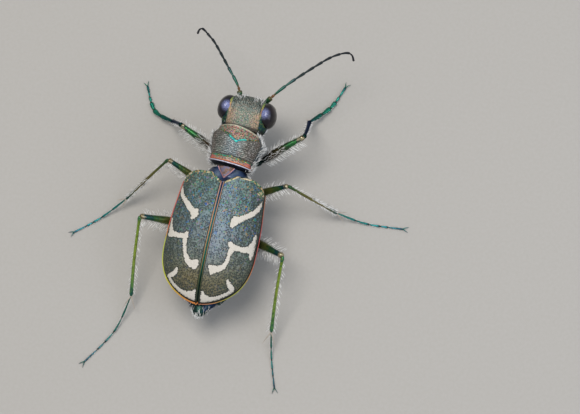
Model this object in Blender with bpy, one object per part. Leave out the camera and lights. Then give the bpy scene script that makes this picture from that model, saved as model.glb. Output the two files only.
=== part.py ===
"""A life-size tiger beetle, standing still on its six feet.

Metres, +Z up, head toward +Y. The origin is on the floor, under the middle of the
legs' and feelers' footprint. Each body part is one closed solid. Neighbours meet face
to face and keep a thin clearance.
"""

import math

import bmesh
import bpy
from mathutils import Matrix, Vector
from mathutils.bvhtree import BVHTree

MM = 0.001
GAP = 0.3 * MM  # clearance between neighbouring pieces
SHELL = 0.5 * MM  # wall of a wing case
ROUND = 20  # points round a body section
LIMB_ROUND = 8  # points round a leg, feeler or palp
MERGE = 0.001 * MM  # vertices closer than this are one
SHARP_ANGLE = math.radians(50.0)

FOOTPRINT_MIDDLE = Vector((0.45, 2.32, 0.0)) * MM  # from below the wing cases' middle

# The trunk's own frame: +Y along its axis, z = 0 on the rims of the wing cases.
TRUNK_HEIGHT = 3.7 * MM
TRUNK_PITCH = math.radians(5.0)
PRONOTUM_AT = Vector((0.10, 4.55, 4.42)) * MM
PRONOTUM_TURN = (math.radians(5.0), 0.0, math.radians(-6.5))
HEAD_AT = Vector((0.40, 8.10, 4.90)) * MM
HEAD_TURN = (0.0, 0.0, math.radians(-8.0))

# Wing cases: places along the trunk, and heights above the rim.
CASE_APEX = -4.0 * MM
CASE_BASE = 4.0 * MM
CASE_WIDEST = -0.3 * MM
CASE_HALF_WIDTH = 2.82 * MM
CASE_BASE_WIDTH = 2.42 * MM  # half width where the sides would meet the base
CASE_FRONT_TAPER = 1.9
CASE_HIND_TAPER = 2.9
CASE_HIND_ROUND = 0.62  # lower is blunter
CASE_CROWN = 1.15 * MM
CASE_CROWN_AT = 0.3 * MM
CASE_BASE_CROWN = 0.90 * MM
CROWN_FRONT_TAPER = 2.0
CROWN_HIND_TAPER = 2.2
CASE_SIDE_POWER = 0.90  # squareness of the dome, across and upward
CASE_ARCH_POWER = 0.85
CASE_GRID = (13, 23)  # points of a wing case, suture to rim and base to apex
CASE_FOLD = 0.35 * MM  # depth of the turned-under rim
CASE_FOLD_IN = 0.10 * MM
CASE_FOLD_FROM = 0.86  # share of the way from suture to rim where it turns under
SHOULDER_DROP = 0.75 * MM  # how far the base falls back at the shoulder
SHOULDER_FROM = 0.62  # share of the half width where it starts to fall back
NOTCH_DEPTH = 0.55 * MM  # notch in the base for the scutellum
NOTCH_SHARE = 0.32  # of the half width
BELLY_LEVEL = -0.70 * MM  # widest line of thorax and abdomen, below the rims
BELLY_DROP = 0.70 * MM  # from that line to the lowest one
BELLY_FILL = 0.90  # share of a belly section's half width at the level of the rims
BELLY_STEP = 0.6 * MM  # between sections
THORAX_SECTIONS = 5  # under the wing cases
ABDOMEN_SECTIONS = 6
THORAX_END = 0.65 * MM  # where thorax and abdomen part

EYE_AT = Vector((1.30, 0.03, 0.02)) * MM
EYE_SIZE = Vector((0.60, 0.76, 0.78)) * MM  # half axes
EYE_BASE = 1.12 * MM  # distance of the eye's flat inner face from the middle of the head

COLOURS = {
    "wing case": ((0.10, 0.11, 0.08), 0.42, 0.35),
    "pronotum bronze": ((0.17, 0.11, 0.07), 0.35, 0.60),
    "head bronze": ((0.13, 0.11, 0.06), 0.35, 0.60),
    "scutellum copper": ((0.36, 0.14, 0.10), 0.30, 0.70),
    "underside blue": ((0.02, 0.05, 0.07), 0.30, 0.60),
    "eye": ((0.03, 0.02, 0.03), 0.15, 0.00),
    "labrum ivory": ((0.62, 0.55, 0.38), 0.40, 0.00),
    "mandible": ((0.05, 0.04, 0.03), 0.25, 0.30),
    "palp": ((0.10, 0.07, 0.04), 0.35, 0.30),
    "feeler": ((0.03, 0.04, 0.05), 0.45, 0.30),
    "leg green": ((0.04, 0.09, 0.05), 0.30, 0.65),
    "foot teal": ((0.02, 0.10, 0.10), 0.30, 0.65),
}

# Sections from the hind end forward, in mm:
# place along the axis, height, forward tilt in degrees, half width, rise, drop.
PRONOTUM_SECTIONS = (
    (0.00, 0.00, 0, 1.16, 0.66, 0.82),
    (0.10, 0.00, 0, 1.28, 0.76, 0.92),
    (0.34, 0.00, 0, 1.24, 0.74, 0.92),
    (0.60, 0.02, 0, 1.38, 0.88, 0.98),
    (1.05, 0.04, 0, 1.53, 0.98, 1.00),
    (1.55, 0.05, 0, 1.61, 0.98, 0.98),
    (1.90, 0.04, 0, 1.50, 0.90, 0.94),
    (2.12, 0.03, 0, 1.28, 0.78, 0.88),
    (2.24, 0.02, 0, 1.25, 0.78, 0.86),
    (2.36, 0.00, 0, 1.16, 0.70, 0.80),
)
HEAD_SECTIONS = (
    (-0.92, -0.18, 0, 0.96, 0.58, 0.70),
    (-0.66, -0.17, 0, 1.14, 0.72, 0.92),
    (-0.25, -0.17, -4, 1.20, 0.80, 1.10),
    (0.18, -0.20, -18, 1.12, 0.80, 1.10),
    (0.45, -0.35, -35, 1.03, 0.70, 0.90),
    (0.62, -0.62, -50, 0.97, 0.52, 0.75),
    (0.76, -0.90, -62, 0.84, 0.36, 0.50),
    (0.84, -1.12, -68, 0.70, 0.26, 0.34),
)
THORAX_FRONT = (
    (3.60, -0.45, 0, 1.55, 0.46, 0.85),
    (4.00, -0.30, 0, 1.20, 0.36, 0.80),
    (4.28, -0.25, 0, 1.00, 0.38, 0.66),
)
TAIL_SECTIONS = (
    (-4.62, -0.76, 0, 0.28, 0.18, 0.16),
    (-4.45, -0.80, 0, 0.58, 0.26, 0.28),
    (-4.00, -0.97, 0, 0.98, 0.32, 0.36),
    (-3.50, -1.00, 0, 1.32, 0.33, 0.40),
)
BODY_POWER = (2.1, 2.1)  # squareness of a section above and below its widest line
BELLY_POWER = (1.8, 2.1)

# Outline of the upper lip on its right half, in mm: across, and forward from its hind edge.
LABRUM_OUTLINE = (
    (0.56, 0.00),
    (0.58, 0.26),
    (0.46, 0.46),
    (0.30, 0.50),
    (0.24, 0.60),
    (0.14, 0.52),
    (0.06, 0.54),
    (0.00, 0.66),
)
LABRUM_AT = Vector((0.0, 0.955, -1.40)) * MM
LABRUM_TILT = math.radians(-68.0)
LABRUM_THICKNESS = 0.34 * MM
SCUTELLUM_OUTLINE = ((0.00, -0.52), (0.36, 0.00), (0.30, 0.06))  # in mm, right half
SCUTELLUM_AT = Vector((0.0, 4.22, 0.62)) * MM
SCUTELLUM_THICKNESS = 0.36 * MM

# Paths and half thicknesses in mm. In the head's frame, on its right side.
MANDIBLE_PATH = (
    (0.88, 0.70, -1.20, 0.25),
    (1.10, 0.98, -1.72, 0.25),
    (1.00, 1.20, -2.10, 0.20),
    (0.64, 1.32, -2.42, 0.13),
    (0.22, 1.34, -2.60, 0.07),
)
MANDIBLE_TEETH = ((0.92, 1.20, -2.14), (0.60, 1.32, -2.42))
TOOTH_REACH = (-0.34, 0.02, -0.02)
TOOTH_THICK = (0.10 * MM, 0.03 * MM)
MAXILLARY_PATH = (
    (0.62, -0.12, -1.20, 0.19),
    (0.68, -0.02, -1.72, 0.21),
    (0.82, 0.30, -2.16, 0.19),
    (0.80, 0.52, -2.56, 0.20),
    (0.68, 0.68, -2.86, 0.12),
)
LABIAL_PATH = (
    (0.32, -0.62, -1.20, 0.18),
    (0.34, -0.57, -1.66, 0.19),
    (0.36, -0.40, -2.12, 0.18),
    (0.33, -0.21, -2.45, 0.19),
    (0.29, -0.09, -2.62, 0.10),
)

# Feelers, in mm above the floor, as the insect holds them.
FEELER_LEFT = (
    (-0.55, 9.58, 4.92),
    (-1.43, 10.66, 5.10),
    (-2.62, 12.06, 5.00),
    (-3.17, 12.55, 4.95),
    (-3.65, 12.92, 4.90),
    (-3.90, 12.90, 4.80),
    (-3.99, 12.62, 4.70),
)
FEELER_RIGHT = (
    (1.70, 9.30, 4.92),
    (2.55, 10.30, 5.10),
    (3.97, 11.83, 5.00),
    (4.75, 12.58, 4.90),
    (5.48, 13.00, 4.80),
    (5.84, 12.98, 4.65),
    (6.02, 12.66, 4.50),
)
FEELER_ROOT = Vector((0.76, 1.00, -0.50)) * MM  # in the head's frame, on its right side
FEELER_THICK = (0.25, 0.14)  # half thickness at the root and the tip, in mm

# Each leg in mm above the floor: where the coxa is rooted, the hip, knee and ankle,
# the middle of the tarsus, and its tip.
LEGS = {
    "front_left": (
        (-0.42, 5.50, 3.40), (-0.86, 5.66, 2.70), (-3.71, 6.82, 3.90),
        (-5.16, 7.98, 0.75), (-6.65, 8.66, 0.24), (-7.58, 10.25, 0.18),
    ),
    "front_right": (
        (0.82, 5.38, 3.40), (1.24, 5.56, 2.70), (4.01, 7.47, 3.90),
        (3.46, 9.55, 0.75), (4.46, 10.95, 0.24), (5.05, 12.49, 0.18),
    ),
    "middle_left": (
        (-0.85, 3.00, 2.60), (-1.20, 3.08, 1.86), (-4.08, 4.62, 3.40),
        (-6.77, 2.37, 0.80), (-8.27, 1.02, 0.24), (-9.72, -0.21, 0.18),
    ),
    "middle_right": (
        (0.85, 3.00, 2.60), (1.20, 3.06, 1.86), (3.68, 4.34, 3.40),
        (6.53, 3.99, 0.80), (8.38, 3.86, 0.24), (10.69, 3.97, 0.18),
    ),
    "hind_left": (
        (-0.95, 1.35, 2.40), (-1.20, 1.25, 1.66), (-4.85, 0.66, 3.60),
        (-4.79, -3.76, 1.00), (-5.49, -5.97, 0.24), (-6.86, -8.23, 0.18),
    ),
    "hind_right": (
        (0.95, 1.35, 2.40), (1.20, 1.20, 1.66), (4.45, -0.14, 3.60),
        (4.35, -4.28, 1.00), (4.57, -5.66, 0.26), (5.18, -7.46, 0.18),
    ),
}
ROOT_STUB = 0.15 * MM  # how far an appendage stands straight out of its root
COXA_THICK = (0.36 * MM, 0.36 * MM, 0.32 * MM)  # half thickness at root, stub and hip
# Share of the length, and half thickness in mm.
FEMUR_THICK = ((0.0, 0.25), (0.3, 0.31), (0.6, 0.29), (1.0, 0.25))
TIBIA_THICK = ((0.0, 0.25), (0.5, 0.25), (1.0, 0.26))
TARSUS_JOINTS = (0.30, 0.50, 0.66, 0.78)  # shares of the length where its beads meet
TARSUS_THICK = (0.26, 0.23)  # half thickness of a bead near the ankle and at the tip
TARSUS_WAIST = 0.78  # of a bead's thickness, where two beads meet
BEAD_SWELL_AT = 0.7  # of a bead's length, where it is thickest
SPIKE_TIP = 0.3  # of a spur's or claw's thickness, at its tip
SPUR_LENGTH = 0.75 * MM
SPUR_THICK = 0.10 * MM
SPUR_WAY = (0.72, 0.45, 0.52)  # along the shin, down from it, and to one side
SPUR_FROM_ANKLE = 0.60 * MM
CLAW_LENGTH = 0.42 * MM
CLAW_THICK = 0.09 * MM
CLAW_SPREAD = math.radians(32.0)
CLAW_INSET = Vector((0.12, -0.02)) * MM  # back along the foot, and downward
LEG_OVERRUN = 0.9 * MM  # past each joint, before the joint's cut
FOOT_OVERRUN = 0.3 * MM
FLOOR_CUT = 0.0  # the feet's small flats all lie at this height


def vector_mm(values):
    return Vector(values[:3]) * MM


def mirrored(point, side):
    """The point on the right side of the middle, or its twin on the left."""
    return Vector((point[0] * side, point[1], point[2]))


def clear_scene():
    for old in list(bpy.data.objects):
        bpy.data.objects.remove(old, do_unlink=True)


def new_collection(name, drawn=True):
    collection = bpy.data.collections.new(name)
    collection.hide_render = not drawn
    bpy.context.scene.collection.children.link(collection)
    return collection


def material(name):
    """A Principled material with the part's colour, roughness and metallic value."""
    made = bpy.data.materials.get(name)
    if made:
        return made
    colour, roughness, metallic = COLOURS[name]
    made = bpy.data.materials.new(name)
    made.use_nodes = True
    shader = made.node_tree.nodes["Principled BSDF"]
    shader.inputs["Base Color"].default_value = (*colour, 1.0)
    shader.inputs["Roughness"].default_value = roughness
    shader.inputs["Metallic"].default_value = metallic
    made.diffuse_color = (*colour, 1.0)
    return made


def frame_empty(name, place, turn, parent):
    empty = bpy.data.objects.new(name, None)
    empty.location = place
    empty.rotation_euler = turn
    empty.parent = parent
    parts.objects.link(empty)
    return empty


def add_piece(name, mesh, finish, parent):
    """A named object in the beetle's collection."""
    mesh.name = name
    mesh.materials.clear()
    mesh.materials.append(material(finish))
    mesh.shade_smooth()
    mesh.set_sharp_from_angle(angle=SHARP_ANGLE)
    piece = bpy.data.objects.new(name, mesh)
    piece.parent = parent
    parts.objects.link(piece)
    bpy.context.view_layer.update()
    return piece


def mesh_of(bm):
    """The finished mesh of a bmesh, with its faces turned outward."""
    bmesh.ops.recalc_face_normals(bm, faces=bm.faces)
    mesh = bpy.data.meshes.new("mesh")
    bm.to_mesh(mesh)
    bm.free()
    return mesh


def smooth_rows(rows, per_step):
    """Catmull-Rom rows through the given ones, per_step of them to each interval."""
    rows = [Vector(row) for row in rows]
    smooth = []
    for index in range(len(rows) - 1):
        before = rows[max(index - 1, 0)]
        start, end = rows[index], rows[index + 1]
        after = rows[min(index + 2, len(rows) - 1)]
        for step in range(per_step):
            t = step / per_step
            smooth.append(
                0.5 * ((2.0 * start) + (end - before) * t
                       + (2.0 * before - 5.0 * start + 4.0 * end - after) * t * t
                       + (3.0 * start - before - 3.0 * end + after) * t * t * t)
            )
    smooth.append(rows[-1])
    return smooth


def section_ring(bm, section, powers):
    """One superelliptic ring. Its plane leans forward by the section's tilt."""
    along, height, tilt, half_width, rise, drop = section
    tilt = math.radians(tilt)
    up = Vector((0.0, -math.sin(tilt), math.cos(tilt)))
    ring = []
    for step in range(ROUND):
        angle = 2.0 * math.pi * (step + 0.5) / ROUND
        across, lift = math.cos(angle), math.sin(angle)
        power = powers[0] if lift > 0 else powers[1]
        x = half_width * math.copysign(abs(across) ** (2.0 / power), across)
        z = (rise if lift > 0 else drop) * math.copysign(abs(lift) ** (2.0 / power), lift)
        ring.append(bm.verts.new((Vector((x, along, height)) + up * z) * MM))
    return ring


def loft(sections, powers):
    """A closed body through unlike sections, with flat ends."""
    bm = bmesh.new()
    rings = [section_ring(bm, section, powers) for section in sections]
    for first, second in zip(rings, rings[1:]):
        for step in range(ROUND):
            after = (step + 1) % ROUND
            bm.faces.new((first[step], first[after], second[after], second[step]))
    bm.faces.new(rings[0])
    bm.faces.new(rings[-1])
    return mesh_of(bm)


def tube(path, thick, name="tube"):
    """A closed mesh tube along a path, from a bevelled curve with filled caps."""
    curve = bpy.data.curves.new(name, "CURVE")
    curve.dimensions = "3D"
    curve.bevel_depth = 1.0
    curve.bevel_resolution = LIMB_ROUND // 2 - 2
    curve.use_fill_caps = True
    spline = curve.splines.new("POLY")
    spline.points.add(len(path) - 1)
    for point, place, radius in zip(spline.points, path, thick):
        point.co = (*place, 1.0)
        point.radius = radius
    guide = bpy.data.objects.new(name, curve)
    bpy.context.scene.collection.objects.link(guide)
    graph = bpy.context.evaluated_depsgraph_get()
    mesh = bpy.data.meshes.new_from_object(guide.evaluated_get(graph))
    bpy.data.objects.remove(guide)
    bpy.data.curves.remove(curve)
    bm = bmesh.new()
    bm.from_mesh(mesh)
    bpy.data.meshes.remove(mesh)
    bmesh.ops.remove_doubles(bm, verts=bm.verts, dist=MERGE)
    return bm


def cut_flat(bm, place, outward):
    """Cuts off what lies beyond a plane and closes the cut with one flat face."""
    geometry = bm.verts[:] + bm.edges[:] + bm.faces[:]
    cut = bmesh.ops.bisect_plane(
        bm, geom=geometry, dist=MERGE / 100.0, plane_co=place, plane_no=outward,
        clear_outer=True,
    )
    edges = [item for item in cut["geom_cut"] if isinstance(item, bmesh.types.BMEdge)]
    if edges:
        bmesh.ops.holes_fill(bm, edges=edges, sides=0)


def fuse(name, meshes):
    """One closed mesh from overlapping closed ones, by a single union."""
    if len(meshes) == 1:
        return meshes[0]
    others = new_collection(name + "_pieces", drawn=False)
    body = bpy.data.objects.new(name, meshes[0])
    bpy.context.scene.collection.objects.link(body)
    for mesh in meshes[1:]:
        others.objects.link(bpy.data.objects.new(name + "_piece", mesh))
    union = body.modifiers.new("union", "BOOLEAN")
    union.operation = "UNION"
    union.operand_type = "COLLECTION"
    union.collection = others
    union.solver = "EXACT"
    bpy.context.view_layer.update()
    graph = bpy.context.evaluated_depsgraph_get()
    joined = bpy.data.meshes.new_from_object(body.evaluated_get(graph))
    for piece in list(others.objects):
        bpy.data.objects.remove(piece)
    bpy.data.collections.remove(others)
    bpy.data.objects.remove(body)
    return joined


def root_on(piece, near):
    """The nearest place on a finished piece's surface to a point, and its way out."""
    bm = bmesh.new()
    bm.from_mesh(piece.data)
    bmesh.ops.transform(bm, matrix=piece.matrix_world, verts=bm.verts)
    tree = BVHTree.FromBMesh(bm)
    place, way_out = tree.find_nearest(near)[:2]
    bm.free()
    return place, way_out.normalized()


def case_half_width(y):
    """Half width of the closed wing cases at a place along the trunk."""
    if y > CASE_WIDEST:
        share = (y - CASE_WIDEST) / (CASE_BASE - CASE_WIDEST)
        narrowed = (CASE_HALF_WIDTH - CASE_BASE_WIDTH) * share ** CASE_FRONT_TAPER
        return CASE_HALF_WIDTH - narrowed
    share = min((CASE_WIDEST - y) / (CASE_WIDEST - CASE_APEX), 1.0)
    return CASE_HALF_WIDTH * (1.0 - share ** CASE_HIND_TAPER) ** CASE_HIND_ROUND


def case_crown(y):
    """Height of the closed wing cases over their rims."""
    if y > CASE_CROWN_AT:
        share = (y - CASE_CROWN_AT) / (CASE_BASE - CASE_CROWN_AT)
        return CASE_CROWN - (CASE_CROWN - CASE_BASE_CROWN) * share ** CROWN_FRONT_TAPER
    share = min((CASE_CROWN_AT - y) / (CASE_CROWN_AT - CASE_APEX), 1.0)
    return CASE_CROWN * (1.0 - share ** CROWN_HIND_TAPER) ** CASE_HIND_ROUND


def case_base(share):
    """Where the base lies along the trunk, at a share of the half width."""
    if share < NOTCH_SHARE:
        return CASE_BASE - NOTCH_DEPTH * (1.0 - share / NOTCH_SHARE)
    outer = max((share - SHOULDER_FROM) / (1.0 - SHOULDER_FROM), 0.0)
    return CASE_BASE - SHOULDER_DROP * (1.0 - math.sqrt(1.0 - outer ** 2.0))


def case_point(across, along):
    """A place on a wing case. Both shares run 0 to 1: suture to rim, and base to apex."""
    share = min(across / CASE_FOLD_FROM, 1.0)
    angle = share * math.pi / 2.0
    side = math.sin(angle) ** CASE_SIDE_POWER
    y = case_base(side) + (CASE_APEX - case_base(side)) * math.sin(along * math.pi / 2.0)
    half_width = case_half_width(y)
    fold = max((across - CASE_FOLD_FROM) / (1.0 - CASE_FOLD_FROM), 0.0)
    x = max(half_width * side - CASE_FOLD_IN * fold, 0.0)
    z = case_crown(y) * math.cos(angle) ** CASE_ARCH_POWER - CASE_FOLD * fold
    return Vector((x, y, z))


def wing_case(side):
    """A domed shell, open below, with its rim turned under."""
    bm = bmesh.new()
    across, down = CASE_GRID
    bmesh.ops.create_grid(bm, x_segments=across, y_segments=down, size=1.0)
    for vert in bm.verts:
        place = case_point((vert.co.x + 1.0) / 2.0, (vert.co.y + 1.0) / 2.0)
        vert.co = mirrored(place, side)
    bmesh.ops.remove_doubles(bm, verts=bm.verts, dist=10.0 * MERGE)
    bm.normal_update()
    if sum(face.normal.z for face in bm.faces) < 0:
        bmesh.ops.reverse_faces(bm, faces=bm.faces)
    bmesh.ops.solidify(bm, geom=bm.faces, thickness=SHELL)
    cut_flat(bm, Vector((GAP / 2.0 * side, 0.0, 0.0)), Vector((-side, 0.0, 0.0)))
    bmesh.ops.dissolve_degenerate(bm, dist=20.0 * MERGE, edges=bm.edges)
    return mesh_of(bm)


def belly_section(y):
    """A section of thorax or abdomen that fits under the wing cases with the clearance."""
    half_width = (case_half_width(y) - SHELL - GAP) / BELLY_FILL
    top = case_crown(y) - SHELL - GAP
    shape = (y, BELLY_LEVEL, 0.0, half_width, top - BELLY_LEVEL, BELLY_DROP)
    return tuple(value / MM for value in shape)


def flat_plate(outline, thickness, place, tilt):
    """A flat symmetric plate from the right half of its outline."""
    points = [Vector((x, y, 0.0)) * MM for x, y in outline]
    points += [Vector((-p.x, p.y, 0.0)) for p in reversed(points) if p.x > 0.0]
    bm = bmesh.new()
    face = bm.faces.new([bm.verts.new(point) for point in points])
    grown = bmesh.ops.extrude_face_region(bm, geom=[face])
    raised = [item for item in grown["geom"] if isinstance(item, bmesh.types.BMVert)]
    bmesh.ops.translate(bm, verts=raised, vec=(0.0, 0.0, thickness))
    move = Matrix.Translation(place) @ Matrix.Rotation(tilt, 4, "X")
    bmesh.ops.translate(bm, verts=bm.verts, vec=(0.0, 0.0, -thickness / 2.0))
    bmesh.ops.transform(bm, matrix=move, verts=bm.verts)
    return mesh_of(bm)


def eye_shape(side, grown):
    """An egg-shaped eye with a flat inner face, or its socket's cutter where it is grown."""
    bm = bmesh.new()
    bmesh.ops.create_uvsphere(bm, u_segments=18, v_segments=12, radius=1.0)
    size = EYE_SIZE + Vector((grown, grown, grown))
    bmesh.ops.scale(bm, vec=size, verts=bm.verts)
    bmesh.ops.translate(bm, vec=mirrored(EYE_AT, side), verts=bm.verts)
    cut_flat(bm, Vector(((EYE_BASE - grown) * side, 0.0, 0.0)), Vector((-side, 0.0, 0.0)))
    return mesh_of(bm)


def make_trunk(trunk):
    """Wing cases, scutellum, thorax and abdomen."""
    for name, side in (("left", -1), ("right", 1)):
        add_piece("elytron_" + name, wing_case(side), "wing case", trunk)
    plate = flat_plate(SCUTELLUM_OUTLINE, SCUTELLUM_THICKNESS, SCUTELLUM_AT, 0.0)
    add_piece("scutellum", plate, "scutellum copper", trunk)
    front = THORAX_END + GAP / 2.0
    places = [front + step * BELLY_STEP for step in range(THORAX_SECTIONS)]
    sections = [belly_section(y) for y in places]
    sections += smooth_rows(THORAX_FRONT, 2)
    thorax = add_piece("thorax", loft(sections, BELLY_POWER), "underside blue", trunk)
    hind = THORAX_END - GAP / 2.0
    places = [hind - step * BELLY_STEP for step in range(ABDOMEN_SECTIONS)]
    sections = smooth_rows(TAIL_SECTIONS, 2) + [belly_section(y) for y in reversed(places)]
    add_piece("abdomen", loft(sections, BELLY_POWER), "underside blue", trunk)
    return thorax


def make_head(head_frame):
    """Head with its eye sockets, the eyes and the upper lip."""
    sections = smooth_rows(HEAD_SECTIONS, 2)
    head = add_piece("head", loft(sections, BODY_POWER), "head bronze", head_frame)
    for name, side in (("left", -1), ("right", 1)):
        socket = bpy.data.objects.new("socket_" + name, eye_shape(side, GAP))
        socket.parent = head_frame
        socket.display_type = "WIRE"
        socket.hide_render = True
        cutters.objects.link(socket)
        add_piece("eye_" + name, eye_shape(side, 0.0), "eye", head_frame)
    bpy.context.view_layer.update()
    sockets = head.modifiers.new("sockets", "BOOLEAN")
    sockets.operation = "DIFFERENCE"
    sockets.operand_type = "COLLECTION"
    sockets.collection = cutters
    lip = flat_plate(LABRUM_OUTLINE, LABRUM_THICKNESS, LABRUM_AT, LABRUM_TILT)
    add_piece("labrum", lip, "labrum ivory", head_frame)
    return head


def make_mouthparts(head, head_frame):
    """Jaws and palps, each rooted on the head's surface."""
    into_frame = head_frame.matrix_world.inverted()
    for name, side in (("left", -1), ("right", 1)):
        for kind, rows, finish in (
            ("mandible", MANDIBLE_PATH, "mandible"),
            ("palp_maxillary", MAXILLARY_PATH, "palp"),
            ("palp_labial", LABIAL_PATH, "palp"),
        ):
            path = [mirrored(vector_mm(row), side) for row in rows]
            place, way_out = root_on(head, head_frame.matrix_world @ path[0])
            path[0] = into_frame @ (place + way_out * GAP)
            path.insert(1, into_frame @ (place + way_out * (GAP + ROOT_STUB)))
            thick = [row[3] * MM for row in (rows[0], *rows)]
            spine = [Vector((*place, radius)) for place, radius in zip(path, thick)]
            spine = smooth_rows(spine, 2)
            shape = tube([row[:3] for row in spine], [row[3] for row in spine])
            meshes = [mesh_of(shape)]
            if kind == "mandible":
                for tooth in MANDIBLE_TEETH:
                    start = mirrored(vector_mm(tooth), side)
                    tip = start + mirrored(vector_mm(TOOTH_REACH), side)
                    point = tube([start, tip], TOOTH_THICK)
                    meshes.append(mesh_of(point))
            add_piece(kind + "_" + name, fuse(kind, meshes), finish, head_frame)


def make_feelers(head, head_frame, beetle):
    """The two feelers, from the head's front corners."""
    into_frame = beetle.matrix_world.inverted()
    for name, side, rows in (("left", -1, FEELER_LEFT), ("right", 1, FEELER_RIGHT)):
        near = head_frame.matrix_world @ mirrored(FEELER_ROOT, side)
        place, way_out = root_on(head, near)
        path = [into_frame @ (place + way_out * reach) for reach in (GAP, GAP + ROOT_STUB)]
        path += [vector_mm(row) for row in rows]
        path = smooth_rows(path, 2)
        root, tip = FEELER_THICK
        steps = len(path) - 1
        thick = [(root + (tip - root) * step / steps) * MM for step in range(steps + 1)]
        shape = tube(path, thick)
        add_piece("antenna_" + name, mesh_of(shape), "feeler", beetle)


def along(start, end, thick):
    """Points and half thicknesses of one straight stretch of leg, longer at both ends."""
    way = (end - start).normalized()
    path = [start + (end - start) * share for share, _ in thick]
    path[0] -= way * LEG_OVERRUN
    path[-1] += way * LEG_OVERRUN
    return path, [radius * MM for _, radius in thick]


def mitre(before, joint, after):
    """The direction across a joint, along which its two pieces face each other."""
    return ((joint - before).normalized() + (after - joint).normalized()).normalized()


def part_at(bm, joint, way, keep_after):
    """Trims a stretch of leg at a joint, half the clearance short of it."""
    if keep_after:
        cut_flat(bm, joint + way * GAP / 2.0, -way)
    else:
        cut_flat(bm, joint - way * GAP / 2.0, way)


def spine_mesh(start, way, length, thick):
    """One tapered spur or claw."""
    return mesh_of(tube([start, start + way * length], [thick, thick * SPIKE_TIP]))


def tarsus_beads():
    """Shares of the length and half thicknesses along a foot of five beads."""
    root, tip = TARSUS_THICK
    edges = (0.0, *TARSUS_JOINTS, 1.0)
    rows = [(0.0, root * TARSUS_WAIST)]
    for start, end in zip(edges, edges[1:]):
        full = root + (tip - root) * end
        rows.append((start + (end - start) * BEAD_SWELL_AT, full))
        rows.append((end, full * TARSUS_WAIST if end < 1.0 else full))
    return rows


def tarsus_path(ankle, middle, tip):
    """The foot's path: down to the floor, then along it to the claws."""
    first = (middle - ankle).length
    whole = first + (tip - middle).length
    path = []
    for share, _ in tarsus_beads():
        reach = share * whole
        if reach < first:
            path.append(ankle.lerp(middle, reach / first))
        else:
            path.append(middle.lerp(tip, (reach - first) / (whole - first)))
    return path


def make_leg(name, rows, carrier, beetle):
    """Coxa, femur, tibia with its spurs, and tarsus with its claws."""
    into_frame = beetle.matrix_world.inverted()
    near, hip, knee, ankle, middle, tip = (vector_mm(row) for row in rows)
    place, way_out = root_on(carrier, beetle.matrix_world @ near)
    root = into_frame @ (place + way_out * GAP)
    stub = into_frame @ (place + way_out * (GAP + ROOT_STUB))
    at_hip = mitre(stub, hip, knee)
    at_knee = mitre(hip, knee, ankle)
    at_ankle = mitre(knee, ankle, middle)

    past_hip = hip + (hip - stub).normalized() * LEG_OVERRUN
    coxa = tube([root, stub, past_hip], COXA_THICK)
    part_at(coxa, hip, at_hip, keep_after=False)
    add_piece(name.replace("_", "_coxa_"), mesh_of(coxa), "underside blue", beetle)

    femur = tube(*along(hip, knee, FEMUR_THICK))
    part_at(femur, hip, at_hip, keep_after=True)
    part_at(femur, knee, at_knee, keep_after=False)
    add_piece(name.replace("_", "_femur_"), mesh_of(femur), "leg green", beetle)

    tibia = tube(*along(knee, ankle, TIBIA_THICK))
    part_at(tibia, knee, at_knee, keep_after=True)
    part_at(tibia, ankle, at_ankle, keep_after=False)
    shin = (ankle - knee).normalized()
    aside = shin.cross(Vector((0.0, 0.0, 1.0))).normalized()
    below = shin.cross(aside).normalized()
    below = below if below.z < 0 else -below
    meshes = [mesh_of(tibia)]
    for turn in (-1, 1):
        forward, down, sideways = SPUR_WAY
        way = (shin * forward + below * down + aside * sideways * turn).normalized()
        start = ankle - shin * SPUR_FROM_ANKLE
        meshes.append(spine_mesh(start, way, SPUR_LENGTH, SPUR_THICK))
    add_piece(name.replace("_", "_tibia_"), fuse(name, meshes), "leg green", beetle)

    path = tarsus_path(ankle, middle, tip)
    thick = [radius * MM for _, radius in tarsus_beads()]
    path[0] -= (path[1] - path[0]).normalized() * FOOT_OVERRUN
    tarsus = tube(path, thick)
    part_at(tarsus, ankle, at_ankle, keep_after=True)
    cut_flat(tarsus, Vector((0.0, 0.0, FLOOR_CUT)), Vector((0.0, 0.0, -1.0)))
    meshes = [mesh_of(tarsus)]
    heading = tip - middle
    heading.z = 0.0
    heading.normalize()
    for turn in (-1, 1):
        way = Matrix.Rotation(CLAW_SPREAD * turn, 3, "Z") @ heading
        start = tip - heading * CLAW_INSET.x + Vector((0.0, 0.0, CLAW_INSET.y))
        meshes.append(spine_mesh(start, way, CLAW_LENGTH, CLAW_THICK))
    add_piece(name.replace("_", "_tarsus_"), fuse(name, meshes), "foot teal", beetle)


clear_scene()
parts = new_collection("tiger_beetle")
cutters = new_collection("cutters", drawn=False)
beetle = frame_empty("beetle", -FOOTPRINT_MIDDLE, (0.0, 0.0, 0.0), None)
trunk = frame_empty("trunk", (0.0, 0.0, TRUNK_HEIGHT), (TRUNK_PITCH, 0.0, 0.0), beetle)
neck = frame_empty("neck", PRONOTUM_AT, PRONOTUM_TURN, beetle)
head_frame = frame_empty("head_frame", HEAD_AT, HEAD_TURN, beetle)
bpy.context.view_layer.update()

thorax = make_trunk(trunk)
shield = loft(smooth_rows(PRONOTUM_SECTIONS, 1), BODY_POWER)
pronotum = add_piece("pronotum", shield, "pronotum bronze", neck)
head = make_head(head_frame)
make_mouthparts(head, head_frame)
make_feelers(head, head_frame, beetle)
for leg, rows in LEGS.items():
    carrier = pronotum if leg.startswith("front") else thorax
    make_leg(leg, rows, carrier, beetle)
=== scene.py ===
import itertools
import math
import random
from functools import partial

import bmesh
import bpy
import numpy as np
from mathutils import Matrix, Vector, kdtree, noise


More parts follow.
